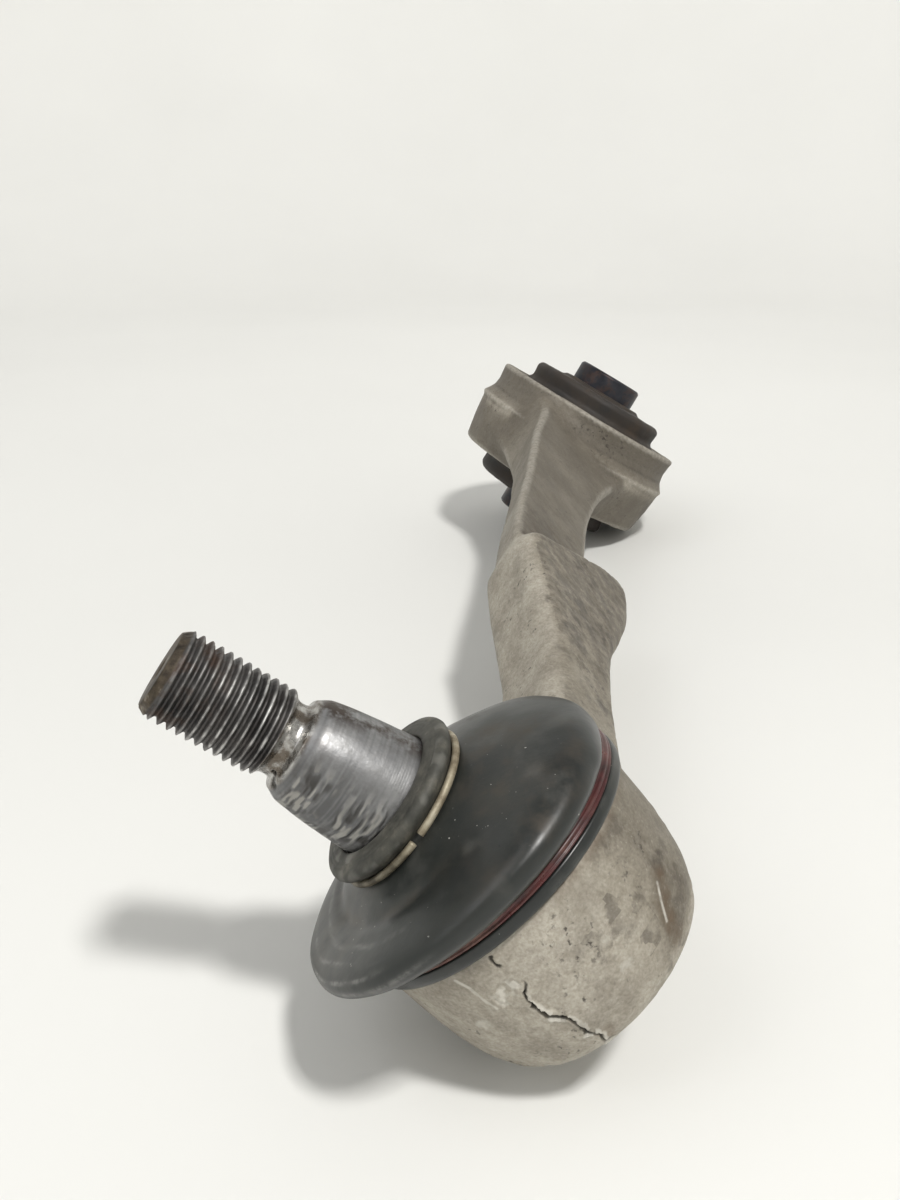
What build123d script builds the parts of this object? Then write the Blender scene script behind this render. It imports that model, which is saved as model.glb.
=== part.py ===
from build123d import *
import math
import os

os.makedirs("parts", exist_ok=True)

# ---------------------------------------------------------------- driving sizes, mm
# Arm frame: origin at the ball centre, x towards the bush, z along the housing
# axis on the stud side. The arm lies on the ground plane Z = 0, rolled about x.
BALL_CENTRE = (-11.31, -133.875, 29.999)
ARM_X = (0.140711, 0.990041, 0.003549)
ARM_Z = (-0.664839, 0.091831, 0.741326)

# ball stud
BALL_R = 15.0
STUD_DIR = (-0.15286, 0.21075, 0.96551)  # in the arm frame
NECK_R = 7.7
NECK_END = 14.9
COLLAR_R = 9.8
COLLAR_START = 16.0
CONE_START = 20.3
CONE_END = 34.7
CONE_TIP_R = 8.2
SHOULDER_END = 36.6
UNDERCUT_R = 5.7
UNDERCUT_END = 39.5
THREAD_R = 7.0
STUD_TIP = 58.2
TIP_CHAMFER = 1.1

# ball housing
HOUSING_TOP = 7.7
SEAT_R = 21.2
LEDGE_Z = 1.15
HOUSING_R = 23.4
HOUSING_SIDES = ((15.5, -24.75), (18.52, -23.7), (19.9, -21.4), (21.9, -16.9), (23.05, -8.5))
HOUSING_BOTTOM = -24.75
CAVITY_R = 17.4
CAVITY_FLOOR = -17.4
CLOSING_Z0 = 4.2
CLOSING_Z1 = 6.6
ROLLED_R = 16.3
BALL_CLEAR = 0.05

# dust boot and its two rings
BEAD_R = 25.0
BEAD_TOP = 3.3
GROOVE_R = 22.8
GROOVE_TOP = 5.35
BULGE_R = 26.5
BULGE_Z = 7.7
BOOT_WALL = 1.8
LIP_R = 13.7
LIP_FRONT = 21.6
LIP_BACK = 18.8
RING_T = 17.8
RING_MEAN_R = 12.8
RING_WIRE_R = 0.58
RING_GROOVE_R = 12.15
LOWER_RING_R = 24.7

# bush
BUSH_X = 258.7
BUSH_AXIS = (0.172, -0.934, 0.313)  # in the arm frame
BARREL_R = 35.1
BARREL_HALF = 14.75
RIDGE_R = 37.2
RIDGE_V = 2.5
BARREL_BORE_R = 29.6
OUTER_SLEEVE_WALL = 2.0
OUTER_SLEEVE_HALF = 14.5
RUBBER_END_R = 25.2
RUBBER_END_HALF = 21.7
INNER_SLEEVE_R = 11.85
INNER_SLEEVE_HALF = 29.4
INNER_BORE_R = 7.1
INNER_CLEAR = 0.05

# arm bar: station, y size, z size, y centre, z centre, corner radius
ARM_SECTIONS = [
    (9.4, 28.2, 21.6, 0.0, -10.8, 7.5),
    (28.2, 25.4, 21.2, 0.0, -10.0, 6.5),
    (51.7, 20.7, 22.6, 0.0, -7.5, 5.6),
    (73.3, 19.7, 24.0, 0.0, -6.1, 4.7),
    (97.8, 20.2, 32.0, 0.0, -3.8, 4.2),
    (118.4, 19.7, 37.6, 0.0, -3.8, 4.2),
    (133.5, 17.9, 34.8, 0.0, -2.35, 4.2),
]
NECK_SECTIONS = [
    (120.3, 14.1, 23.5, 0.5, 4.7, 3.8),
    (150.4, 14.1, 22.6, 0.5, 5.6, 3.8),
    (186.1, 15.0, 26.3, 0.0, 4.7, 4.2),
    (216.2, 18.8, 37.6, 0.0, 1.9, 4.7),
    (239.7, 22.6, 48.9, 0.0, 0.0, 5.6),
]

# ---------------------------------------------------------------- frames
ARM = Plane(origin=BALL_CENTRE, x_dir=ARM_X, z_dir=ARM_Z)


def point(x, y, z):
    return ARM.from_local_coords(Vector(x, y, z))


def direction(v):
    return point(*v) - point(0, 0, 0)


HOUSING_AXIS = Axis(point(0, 0, 0), direction((0, 0, 1)))
STUD_AXIS = Axis(point(0, 0, 0), direction(STUD_DIR))
BUSH_CENTRE = point(BUSH_X, 0, 0)
BUSH_LINE = Axis(BUSH_CENTRE, direction(BUSH_AXIS))


def profile_plane(centre, along, side):
    """Plane through an axis: local y runs along the axis, local x is the radius."""
    y = direction(along).normalized()
    x = direction(side)
    x = (x - y * x.dot(y)).normalized()
    return Plane(origin=centre, x_dir=x, z_dir=x.cross(y))


HOUSING_PROFILE = profile_plane(point(0, 0, 0), (0, 0, 1), (1, 0, 0))
STUD_PROFILE = profile_plane(point(0, 0, 0), STUD_DIR, (1, 0, 0))
BUSH_PROFILE = profile_plane(BUSH_CENTRE, BUSH_AXIS, (1, 0, 0))


def station(s, yc, zc):
    """Plane across the arm at distance s from the ball centre."""
    return Plane(
        origin=point(s, yc, zc), x_dir=direction((0, 1, 0)), z_dir=direction((1, 0, 0))
    )


# ---------------------------------------------------------------- forged arm, one piece
with BuildPart() as arm_forging:
    for s, ty, tz, yc, zc, r in ARM_SECTIONS:
        with BuildSketch(station(s, yc, zc)):
            RectangleRounded(ty, tz, r)
    loft()
    for s, ty, tz, yc, zc, r in NECK_SECTIONS:
        with BuildSketch(station(s, yc, zc)):
            RectangleRounded(ty, tz, r)
    loft()
    # closed cup of the ball housing
    with BuildSketch(HOUSING_PROFILE):
        with BuildLine():
            Polyline(
                (0, HOUSING_BOTTOM),
                *HOUSING_SIDES,
                (HOUSING_R, LEDGE_Z - 1.0),
                (HOUSING_R - 0.6, LEDGE_Z),
                (SEAT_R, LEDGE_Z),
                (SEAT_R, HOUSING_TOP - 0.6),
                (SEAT_R - 0.6, HOUSING_TOP),
                (0, HOUSING_TOP),
                (0, HOUSING_BOTTOM),
            )
        make_face()
    revolve(axis=HOUSING_AXIS)
    # round eye for the bush
    with BuildSketch(BUSH_PROFILE):
        with BuildLine():
            Polyline(
                (0, -BARREL_HALF),
                (BARREL_R - 1.6, -BARREL_HALF),
                (BARREL_R, -BARREL_HALF + 1.6),
                (RIDGE_R, RIDGE_V - 1.6),
                (RIDGE_R, RIDGE_V + 1.2),
                (BARREL_R + 0.6, RIDGE_V + 5.0),
                (BARREL_R + 0.3, BARREL_HALF - 1.6),
                (BARREL_R - 1.3, BARREL_HALF),
                (0, BARREL_HALF),
                (0, -BARREL_HALF),
            )
        make_face()
    revolve(axis=BUSH_LINE)
    # bore of the eye
    with BuildSketch(BUSH_PROFILE):
        with BuildLine():
            Polyline(
                (0, -60), (BARREL_BORE_R, -60), (BARREL_BORE_R, 60), (0, 60), (0, -60)
            )
        make_face()
    revolve(axis=BUSH_LINE, mode=Mode.SUBTRACT)
    # cavity for the ball and its liner, then the opening inside the rolled edge
    with BuildSketch(HOUSING_PROFILE):
        with BuildLine():
            Polyline(
                (0, CAVITY_FLOOR),
                (CAVITY_R, CAVITY_FLOOR),
                (CAVITY_R, CLOSING_Z1),
                (ROLLED_R, CLOSING_Z1),
                (ROLLED_R + 1.2, HOUSING_TOP + 0.5),
                (0, HOUSING_TOP + 0.5),
                (0, CAVITY_FLOOR),
            )
        make_face()
    revolve(axis=HOUSING_AXIS, mode=Mode.SUBTRACT)

arm_forging.part.label = "arm_forging"
export_step(arm_forging.part, "parts/arm_forging.step")

# ---------------------------------------------------------------- plastic liner round the ball
with BuildPart() as ball_liner:
    with BuildSketch(HOUSING_PROFILE):
        with BuildLine():
            Polyline(
                (0, CAVITY_FLOOR),
                (CAVITY_R, CAVITY_FLOOR),
                (CAVITY_R, CLOSING_Z0),
                (0, CLOSING_Z0),
                (0, CAVITY_FLOOR),
            )
        make_face()
    revolve(axis=HOUSING_AXIS)
    with BuildSketch(HOUSING_PROFILE):
        with BuildLine():
            CenterArc((0, 0), BALL_R + BALL_CLEAR, -90, 180)
            Line((0, BALL_R + BALL_CLEAR), (0, -BALL_R - BALL_CLEAR))
        make_face()
    revolve(axis=HOUSING_AXIS, mode=Mode.SUBTRACT)

ball_liner.part.label = "ball_liner"
export_step(ball_liner.part, "parts/ball_liner.step")

# ---------------------------------------------------------------- closing ring held by the rolled edge
ring_in_0 = math.sqrt((BALL_R + 0.15) ** 2 - CLOSING_Z0**2)
ring_in_1 = math.sqrt((BALL_R + 0.15) ** 2 - CLOSING_Z1**2)
with BuildPart() as closing_ring:
    with BuildSketch(HOUSING_PROFILE):
        with BuildLine():
            Polyline(
                (ring_in_0 + 0.1, CLOSING_Z0),
                (CAVITY_R, CLOSING_Z0),
                (CAVITY_R, CLOSING_Z1),
                (ring_in_1 + 0.5, CLOSING_Z1),
                (ring_in_0 + 0.1, CLOSING_Z0),
            )
        make_face()
    revolve(axis=HOUSING_AXIS)

closing_ring.part.label = "closing_ring"
export_step(closing_ring.part, "parts/closing_ring.step")

# ---------------------------------------------------------------- ball stud, one piece
ball_neck_y = math.sqrt(BALL_R**2 - NECK_R**2)
with BuildPart() as ball_stud:
    with BuildSketch(STUD_PROFILE):
        with BuildLine():
            Polyline(
                (0, -BALL_R),
                (0, STUD_TIP),
                (THREAD_R - TIP_CHAMFER, STUD_TIP),
                (THREAD_R, STUD_TIP - TIP_CHAMFER),
                (THREAD_R, UNDERCUT_END + 0.9),
                (UNDERCUT_R, UNDERCUT_END),
                (UNDERCUT_R, SHOULDER_END + 0.5),
                (UNDERCUT_R + 0.6, SHOULDER_END),
                (CONE_TIP_R - 0.9, SHOULDER_END - 0.3),
                (CONE_TIP_R, CONE_END),
                (COLLAR_R, CONE_START),
                (COLLAR_R, COLLAR_START),
                (NECK_R, NECK_END),
                (NECK_R, ball_neck_y),
            )
            CenterArc(
                (0, 0),
                BALL_R,
                -90,
                90 + math.degrees(math.atan2(ball_neck_y, NECK_R)),
            )
        make_face()
    revolve(axis=STUD_AXIS)

ball_stud.part.label = "ball_stud"
export_step(ball_stud.part, "parts/ball_stud.step")


# ---------------------------------------------------------------- dust boot
def stud_point(t):
    d = Vector(*STUD_DIR).normalized()
    return point(d.X * t, d.Y * t, d.Z * t)


def stud_plane(t):
    z = direction(STUD_DIR).normalized()
    y = direction((0, 1, 0))
    return Plane(origin=stud_point(t), x_dir=(y - z * y.dot(z)).normalized(), z_dir=z)


def housing_plane(z):
    return Plane(
        origin=point(0, 0, z), x_dir=direction((0, 1, 0)), z_dir=direction((0, 0, 1))
    )


with BuildPart() as dust_boot:
    # bead, groove and bulge round the housing axis
    with BuildSketch(HOUSING_PROFILE):
        with BuildLine():
            Polyline(
                (0, BEAD_TOP),
                (0, LEDGE_Z),
                (BEAD_R - 0.5, LEDGE_Z),
                (BEAD_R, LEDGE_Z + 0.5),
                (BEAD_R, BEAD_TOP - 0.3),
                (BEAD_R - 0.3, BEAD_TOP),
                (GROOVE_R, BEAD_TOP),
                (GROOVE_R, GROOVE_TOP),
                (BULGE_R - 1.0, GROOVE_TOP + 0.6),
                (BULGE_R, BULGE_Z - 0.8),
                (BULGE_R, BULGE_Z + 0.8),
                (BULGE_R - 1.0, BULGE_Z + 2.8),
                (BULGE_R - 3.6, BULGE_Z + 3.8),
                (0, BULGE_Z + 3.8),
                (0, BEAD_TOP),
            )
        make_face()
    revolve(axis=HOUSING_AXIS)
    # upper wall running over to the stud
    with BuildSketch(housing_plane(BULGE_Z - 1.2)):
        Circle(BULGE_R - 1.5)
    with BuildSketch(stud_plane(RING_T - 0.9)):
        Circle(RING_GROOVE_R)
    loft()
    # grooved collar with a flared lip
    with BuildSketch(STUD_PROFILE):
        with BuildLine():
            Polyline(
                (0, RING_T - 1.5),
                (RING_GROOVE_R, RING_T - 1.5),
                (RING_GROOVE_R, RING_T + 0.7),
                (LIP_R - 0.6, LIP_BACK),
                (LIP_R, LIP_BACK + 0.7),
                (LIP_R, LIP_FRONT - 0.9),
                (LIP_R - 0.9, LIP_FRONT),
                (COLLAR_R + 0.3, LIP_FRONT + 0.3),
                (0, LIP_FRONT + 0.3),
                (0, RING_T - 1.5),
            )
        make_face()
    revolve(axis=STUD_AXIS)
    # hollow inside
    with BuildSketch(HOUSING_PROFILE):
        with BuildLine():
            Polyline(
                (0, LEDGE_Z - 0.1),
                (SEAT_R, LEDGE_Z - 0.1),
                (SEAT_R, GROOVE_TOP + 1.0),
                (BULGE_R - BOOT_WALL - 0.2, BULGE_Z - 0.6),
                (BULGE_R - BOOT_WALL - 0.1, BULGE_Z + 0.8),
                (BULGE_R - BOOT_WALL - 1.5, BULGE_Z + 2.0),
                (0, BULGE_Z + 2.0),
                (0, LEDGE_Z - 0.1),
            )
        make_face()
    revolve(axis=HOUSING_AXIS, mode=Mode.SUBTRACT)
    with BuildSketch(housing_plane(BULGE_Z - 1.7)):
        Circle(BULGE_R - BOOT_WALL - 2.2)
    with BuildSketch(stud_plane(RING_T - 2.2)):
        Circle(COLLAR_R + 0.1)
    loft(mode=Mode.SUBTRACT)
    with BuildSketch(STUD_PROFILE):
        with BuildLine():
            Polyline(
                (0, 8), (COLLAR_R + 0.05, 8), (COLLAR_R + 0.05, 30), (0, 30), (0, 8)
            )
        make_face()
    revolve(axis=STUD_AXIS, mode=Mode.SUBTRACT)

dust_boot.part.label = "dust_boot"
export_step(dust_boot.part, "parts/dust_boot.step")

# ---------------------------------------------------------------- split wire ring on the boot collar
RING_GAP_DIR = (-0.918, -0.397, 0.0)  # in the arm frame, from the stud axis
RING_TURN = 354.0
with BuildPart() as boot_upper_ring:
    with BuildSketch(profile_plane(point(0, 0, 0), STUD_DIR, RING_GAP_DIR)):
        with Locations((RING_MEAN_R, RING_T)):
            Circle(RING_WIRE_R)
    revolve(axis=STUD_AXIS, revolution_arc=RING_TURN)

boot_upper_ring.part.label = "boot_upper_ring"
export_step(boot_upper_ring.part, "parts/boot_upper_ring.step")

# ---------------------------------------------------------------- ring in the lower groove of the boot
with BuildPart() as boot_lower_ring:
    with BuildSketch(HOUSING_PROFILE):
        with BuildLine():
            Polyline(
                (GROOVE_R, BEAD_TOP + 0.05),
                (LOWER_RING_R, BEAD_TOP + 0.05),
                (LOWER_RING_R, GROOVE_TOP - 0.05),
                (GROOVE_R, GROOVE_TOP - 0.05),
                (GROOVE_R, BEAD_TOP + 0.05),
            )
        make_face()
    revolve(axis=HOUSING_AXIS)

boot_lower_ring.part.label = "boot_lower_ring"
export_step(boot_lower_ring.part, "parts/boot_lower_ring.step")

# ---------------------------------------------------------------- bush: outer sleeve
OUTER_SLEEVE_IN = BARREL_BORE_R - OUTER_SLEEVE_WALL
with BuildPart() as bush_outer_sleeve:
    with BuildSketch(BUSH_PROFILE):
        with BuildLine():
            Polyline(
                (OUTER_SLEEVE_IN, -OUTER_SLEEVE_HALF),
                (BARREL_BORE_R, -OUTER_SLEEVE_HALF),
                (BARREL_BORE_R, OUTER_SLEEVE_HALF),
                (OUTER_SLEEVE_IN, OUTER_SLEEVE_HALF),
                (OUTER_SLEEVE_IN, -OUTER_SLEEVE_HALF),
            )
        make_face()
    revolve(axis=BUSH_LINE)

bush_outer_sleeve.part.label = "bush_outer_sleeve"
export_step(bush_outer_sleeve.part, "parts/bush_outer_sleeve.step")

# ---------------------------------------------------------------- bush: moulded rubber with a thick stop at each end
with BuildPart() as bush_rubber:
    with BuildSketch(BUSH_PROFILE):
        with BuildLine():
            Polyline(
                (INNER_SLEEVE_R + INNER_CLEAR, -RUBBER_END_HALF - 1.2),
                (INNER_SLEEVE_R + 3.0, -RUBBER_END_HALF - 1.2),
                (INNER_SLEEVE_R + 4.0, -RUBBER_END_HALF),
                (RUBBER_END_R - 1.2, -RUBBER_END_HALF),
                (RUBBER_END_R, -RUBBER_END_HALF + 1.2),
                (RUBBER_END_R, -BARREL_HALF - 1.0),
                (OUTER_SLEEVE_IN, -BARREL_HALF + 1.6),
                (OUTER_SLEEVE_IN, BARREL_HALF - 1.6),
                (RUBBER_END_R, BARREL_HALF + 1.0),
                (RUBBER_END_R, RUBBER_END_HALF - 1.2),
                (RUBBER_END_R - 1.2, RUBBER_END_HALF),
                (INNER_SLEEVE_R + 4.0, RUBBER_END_HALF),
                (INNER_SLEEVE_R + 3.0, RUBBER_END_HALF + 1.2),
                (INNER_SLEEVE_R + INNER_CLEAR, RUBBER_END_HALF + 1.2),
                (INNER_SLEEVE_R + INNER_CLEAR, -RUBBER_END_HALF - 1.2),
            )
        make_face()
    revolve(axis=BUSH_LINE)

bush_rubber.part.label = "bush_rubber"
export_step(bush_rubber.part, "parts/bush_rubber.step")

# ---------------------------------------------------------------- bush: inner sleeve
with BuildPart() as bush_inner_sleeve:
    with BuildSketch(BUSH_PROFILE):
        with BuildLine():
            Polyline(
                (INNER_BORE_R, -INNER_SLEEVE_HALF),
                (INNER_SLEEVE_R - 0.8, -INNER_SLEEVE_HALF),
                (INNER_SLEEVE_R, -INNER_SLEEVE_HALF + 0.8),
                (INNER_SLEEVE_R, INNER_SLEEVE_HALF - 0.8),
                (INNER_SLEEVE_R - 0.8, INNER_SLEEVE_HALF),
                (INNER_BORE_R, INNER_SLEEVE_HALF),
                (INNER_BORE_R, -INNER_SLEEVE_HALF),
            )
        make_face()
    revolve(axis=BUSH_LINE)

bush_inner_sleeve.part.label = "bush_inner_sleeve"
export_step(bush_inner_sleeve.part, "parts/bush_inner_sleeve.step")
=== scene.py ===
import math

import bmesh
import bpy
import numpy as np
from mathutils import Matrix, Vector


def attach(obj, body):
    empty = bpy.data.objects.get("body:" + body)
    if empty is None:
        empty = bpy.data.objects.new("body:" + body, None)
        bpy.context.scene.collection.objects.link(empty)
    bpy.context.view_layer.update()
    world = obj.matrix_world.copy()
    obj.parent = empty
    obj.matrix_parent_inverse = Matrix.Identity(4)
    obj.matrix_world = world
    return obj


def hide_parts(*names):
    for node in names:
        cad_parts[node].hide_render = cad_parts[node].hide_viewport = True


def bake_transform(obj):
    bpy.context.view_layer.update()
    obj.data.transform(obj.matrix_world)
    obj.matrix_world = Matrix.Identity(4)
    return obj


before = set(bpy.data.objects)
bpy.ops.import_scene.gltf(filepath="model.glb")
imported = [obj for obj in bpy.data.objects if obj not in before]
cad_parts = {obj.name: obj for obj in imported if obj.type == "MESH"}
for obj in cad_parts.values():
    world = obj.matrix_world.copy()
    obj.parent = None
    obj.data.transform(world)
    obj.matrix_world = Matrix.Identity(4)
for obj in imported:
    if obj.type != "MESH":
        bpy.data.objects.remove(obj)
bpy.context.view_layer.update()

# ------------------------------------------------------------------ frames, in drawing units of K mm
K = 0.94
C = np.array([-11.31, -133.875, 29.999]) / K
EX = np.array([0.140711, 0.990041, 0.003549])
EZ = np.array([-0.664839, 0.091831, 0.741326])
EZ /= np.linalg.norm(EZ)
EX = EX - (EX @ EZ) * EZ
EX /= np.linalg.norm(EX)
EY = np.cross(EZ, EX)
ARM = np.stack([EX, EY, EZ], 1)  # arm frame to row frame


def unit(v):
    v = np.asarray(v, float)
    return v / np.linalg.norm(v)


def basis(axis, side):
    """Columns u, v, axis: a right-handed frame with u towards side."""
    w = unit(axis)
    u = np.asarray(side, float) - (np.asarray(side, float) @ w) * w
    u = unit(u)
    return np.stack([u, np.cross(w, u), w], 1)


STUD_L = unit([-0.15286, 0.21075, 0.96551])
BUSH_L = unit([0.172, -0.934, 0.313])
BUSH_X = 275.2
HOUSE_B = basis([0, 0, 1], [1, 0, 0])
STUD_B = basis(STUD_L, [1, 0, 0])
# the boot's collar lags a little behind the tilted stud
COLLAR_L = unit([-0.1635, 0.1365, 0.977])
COLLAR_O = STUD_L * 20.55
COLLAR_B = basis(COLLAR_L, [1, 0, 0])
BUSH_B = basis(BUSH_L, [1, 0, 0])
BUSH_O = np.array([BUSH_X, 0.0, 0.0])


def to_row(p):
    """Arm frame in drawing units to the row frame in metres."""
    return (np.asarray(p, float) @ ARM.T + C) * (K * 1e-3)


# ------------------------------------------------------------------ noise
def _hash(ix, iy, iz, seed):
    h = (
        ix.astype(np.int64) * 374761393
        + iy.astype(np.int64) * 668265263
        + iz.astype(np.int64) * 2147483647
        + seed * 974634541
    ) & 0xFFFFFFFF
    h = ((h ^ (h >> 13)) * 1274126177) & 0xFFFFFFFF
    h = ((h ^ (h >> 16)) * 2246822519) & 0xFFFFFFFF
    return ((h ^ (h >> 15)) & 0xFFFFFF).astype(np.float64) / float(0xFFFFFF)


def vnoise(p, seed=0):
    """Smooth lattice noise in -1..1 at points p, one lattice cell a unit."""
    i = np.floor(p).astype(np.int64)
    f = p - i
    f = f * f * f * (f * (f * 6 - 15) + 10)
    out = np.zeros(len(p))
    for dx in (0, 1):
        wx = f[:, 0] if dx else 1 - f[:, 0]
        for dy in (0, 1):
            wy = f[:, 1] if dy else 1 - f[:, 1]
            for dz in (0, 1):
                wz = f[:, 2] if dz else 1 - f[:, 2]
                out += wx * wy * wz * _hash(i[:, 0] + dx, i[:, 1] + dy, i[:, 2] + dz, seed)
    return out * 2 - 1


def fbm(p, scale, octaves=3, seed=0, gain=0.5):
    out, amp, norm = np.zeros(len(p)), 1.0, 0.0
    q = np.asarray(p, float) / scale
    for k in range(octaves):
        out += amp * vnoise(q + 17.3 * k, seed + k * 31)
        norm += amp
        amp *= gain
        q = q * 2.03
    return out / norm


def sstep(a, b, x):
    t = np.clip((x - a) / (b - a), 0, 1)
    return t * t * (3 - 2 * t)


def pchip(xk, yk, x):
    """Monotone cubic through the keys, held flat past the ends."""
    xk, yk = np.asarray(xk, float), np.asarray(yk, float)
    h, d = np.diff(xk), np.diff(yk) / np.diff(xk)
    m = np.zeros(len(xk))
    for i in range(1, len(xk) - 1):
        if d[i - 1] * d[i] > 0:
            w1, w2 = 2 * h[i] + h[i - 1], h[i] + 2 * h[i - 1]
            m[i] = (w1 + w2) / (w1 / d[i - 1] + w2 / d[i])
    m[0], m[-1] = d[0], d[-1]
    x = np.clip(x, xk[0], xk[-1])
    i = np.clip(np.searchsorted(xk, x, side="right") - 1, 0, len(xk) - 2)
    t = (x - xk[i]) / h[i]
    return (
        yk[i] * (1 + 2 * t) * (1 - t) ** 2
        + h[i] * m[i] * t * (1 - t) ** 2
        + yk[i + 1] * t * t * (3 - 2 * t)
        + h[i] * m[i + 1] * t * t * (t - 1)
    )


# ------------------------------------------------------------------ mesh helpers
def make_mesh(name, verts, faces, smooth=True):
    me = bpy.data.meshes.new(name)
    verts = np.asarray(verts, float)
    faces = np.asarray(faces)
    me.vertices.add(len(verts))
    me.vertices.foreach_set("co", verts.astype(np.float32).ravel())
    n = faces.shape[1]
    me.loops.add(len(faces) * n)
    me.loops.foreach_set("vertex_index", faces.astype(np.int32).ravel())
    me.polygons.add(len(faces))
    me.polygons.foreach_set("loop_start", np.arange(0, len(faces) * n, n, dtype=np.int32))
    me.update(calc_edges=True)
    me.validate()
    if smooth:
        me.polygons.foreach_set("use_smooth", np.ones(len(me.polygons), bool))
    o = bpy.data.objects.new(name, me)
    bpy.context.scene.collection.objects.link(o)
    return o


def float_attr(o, name, values):
    a = o.data.attributes.new(name, "FLOAT", "POINT")
    a.data.foreach_set("value", np.asarray(values, np.float32))


def grid_faces(n_loop, n_ring, closed_profile):
    """Quads of a grid of n_ring profile points by n_loop steps round, index ring * n_loop + step."""
    rings = n_ring if closed_profile else n_ring - 1
    i, j = np.meshgrid(np.arange(rings), np.arange(n_loop), indexing="ij")
    i2, j2 = (i + 1) % n_ring, (j + 1) % n_loop
    return np.stack(
        [i * n_loop + j, i * n_loop + j2, i2 * n_loop + j2, i2 * n_loop + j], -1
    ).reshape(-1, 4)


def revolve_points(rt, theta, base, origin=(0, 0, 0)):
    """Points of profile (r, t) turned to each theta about base's third column. r may be (rings, steps)."""
    r, t = rt
    r = np.asarray(r, float)
    if r.ndim == 1:
        r = np.repeat(r[:, None], len(theta), 1)
    t = np.asarray(t, float)
    if t.ndim == 1:
        t = np.repeat(t[:, None], len(theta), 1)
    p = (
        (r * np.cos(theta))[..., None] * base[:, 0]
        + (r * np.sin(theta))[..., None] * base[:, 1]
        + t[..., None] * base[:, 2]
    )
    return p.reshape(-1, 3) + np.asarray(origin, float)


def rounded(points, radius, steps=4):
    """A polyline in (r, t) with each marked corner rounded. points: (r, t, k), k scales the radius."""
    out = []
    n = len(points)
    for i, (x, y, k) in enumerate(points):
        p = np.array([x, y])
        if k <= 0 or i in (0, n - 1):
            out.append(p)
            continue
        a = np.array(points[i - 1][:2]) - p
        b = np.array(points[i + 1][:2]) - p
        la, lb = np.linalg.norm(a), np.linalg.norm(b)
        rr = min(radius * k, la * 0.48, lb * 0.48)
        pa, pb = p + a / la * rr, p + b / lb * rr
        for s in np.linspace(0, 1, steps + 2):
            out.append((1 - s) ** 2 * pa + 2 * s * (1 - s) * p + s * s * pb)
    return np.array(out)


def densify(line, step):
    out = [line[0]]
    for a, b in zip(line[:-1], line[1:]):
        n = max(1, int(math.ceil(np.linalg.norm(b - a) / step)))
        for k in range(1, n + 1):
            out.append(a + (b - a) * k / n)
    return np.array(out)


def lathe(name, profile, base, origin, steps, wobble=None, flip=False):
    """A closed ring solid from a closed (r, t) loop."""
    prof = np.asarray(profile, float)
    if np.allclose(prof[0], prof[-1]):
        prof = prof[:-1]
    theta = np.arange(steps) * 2 * math.pi / steps
    p = revolve_points((prof[:, 0], prof[:, 1]), theta, base, origin)
    if wobble is not None:
        p = wobble(p)
    f = grid_faces(steps, len(prof), True)
    area = 0.5 * np.sum(
        prof[:, 0] * np.roll(prof[:, 1], -1) - np.roll(prof[:, 0], -1) * prof[:, 1]
    )
    if (area > 0) != flip:
        f = f[:, ::-1]
    f = f[:, ::-1]
    return make_mesh(name, to_row(p), f)


def surface_nets(values, xs, ys, zs):
    """Smooth quads of the zero level of a sampled field that is negative inside."""
    neg = values < 0
    nx, ny, nz = values.shape
    cx, cy, cz = nx - 1, ny - 1, nz - 1
    total = np.zeros((cx, cy, cz), np.int8)
    for a in (0, 1):
        for b in (0, 1):
            for c in (0, 1):
                total += neg[a : cx + a, b : cy + b, c : cz + c]
    active = (total > 0) & (total < 8)
    ids = np.full((cx, cy, cz), -1, np.int64)
    ijk = np.argwhere(active)
    ids[active] = np.arange(len(ijk))
    pos = np.zeros((len(ijk), 3))
    cnt = np.zeros(len(ijk))
    corner = [(a, b, c) for a in (0, 1) for b in (0, 1) for c in (0, 1)]
    vals = {
        k: values[ijk[:, 0] + k[0], ijk[:, 1] + k[1], ijk[:, 2] + k[2]].astype(float)
        for k in corner
    }
    for k in corner:
        for axis in range(3):
            if k[axis]:
                continue
            m = list(k)
            m[axis] = 1
            a, b = vals[k], vals[tuple(m)]
            cross = (a < 0) != (b < 0)
            t = np.where(cross, a / np.where(cross, a - b, 1), 0)
            q = np.array(k, float)[None, :].repeat(len(ijk), 0)
            q[:, axis] += t
            pos[cross] += q[cross]
            cnt[cross] += 1
    pos = pos / cnt[:, None] + ijk
    quads = []
    for axis in range(3):
        o = [0, 0, 0]
        o[axis] = 1
        a = neg[: nx - o[0], : ny - o[1], : nz - o[2]]
        b = neg[o[0] :, o[1] :, o[2] :]
        e = np.argwhere(a != b)
        u, v = [(1, 2), (2, 0), (0, 1)][axis]
        ok = (e[:, u] > 0) & (e[:, v] > 0) & (e[:, u] < (cx, cy, cz)[u]) & (e[:, v] < (cx, cy, cz)[v])
        e = e[ok]
        inside_first = a[e[:, 0], e[:, 1], e[:, 2]]
        q = []
        for du, dv in ((-1, -1), (0, -1), (0, 0), (-1, 0)):
            w = e.copy()
            w[:, u] += du
            w[:, v] += dv
            q.append(ids[w[:, 0], w[:, 1], w[:, 2]])
        q = np.stack(q, 1)
        q[~inside_first] = q[~inside_first][:, ::-1]
        quads.append(q)
    coords = [np.interp(pos[:, i], np.arange(len(g)), g) for i, g in enumerate((xs, ys, zs))]
    return np.stack(coords, 1), np.concatenate(quads)


# ------------------------------------------------------------------ forged arm as one skin
def rint(a, b, r):
    """Intersection of two half spaces with a round edge."""
    return np.minimum(np.maximum(a + r, b + r), 0) + np.hypot(
        np.maximum(a + r, 0), np.maximum(b + r, 0)
    ) - r


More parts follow.
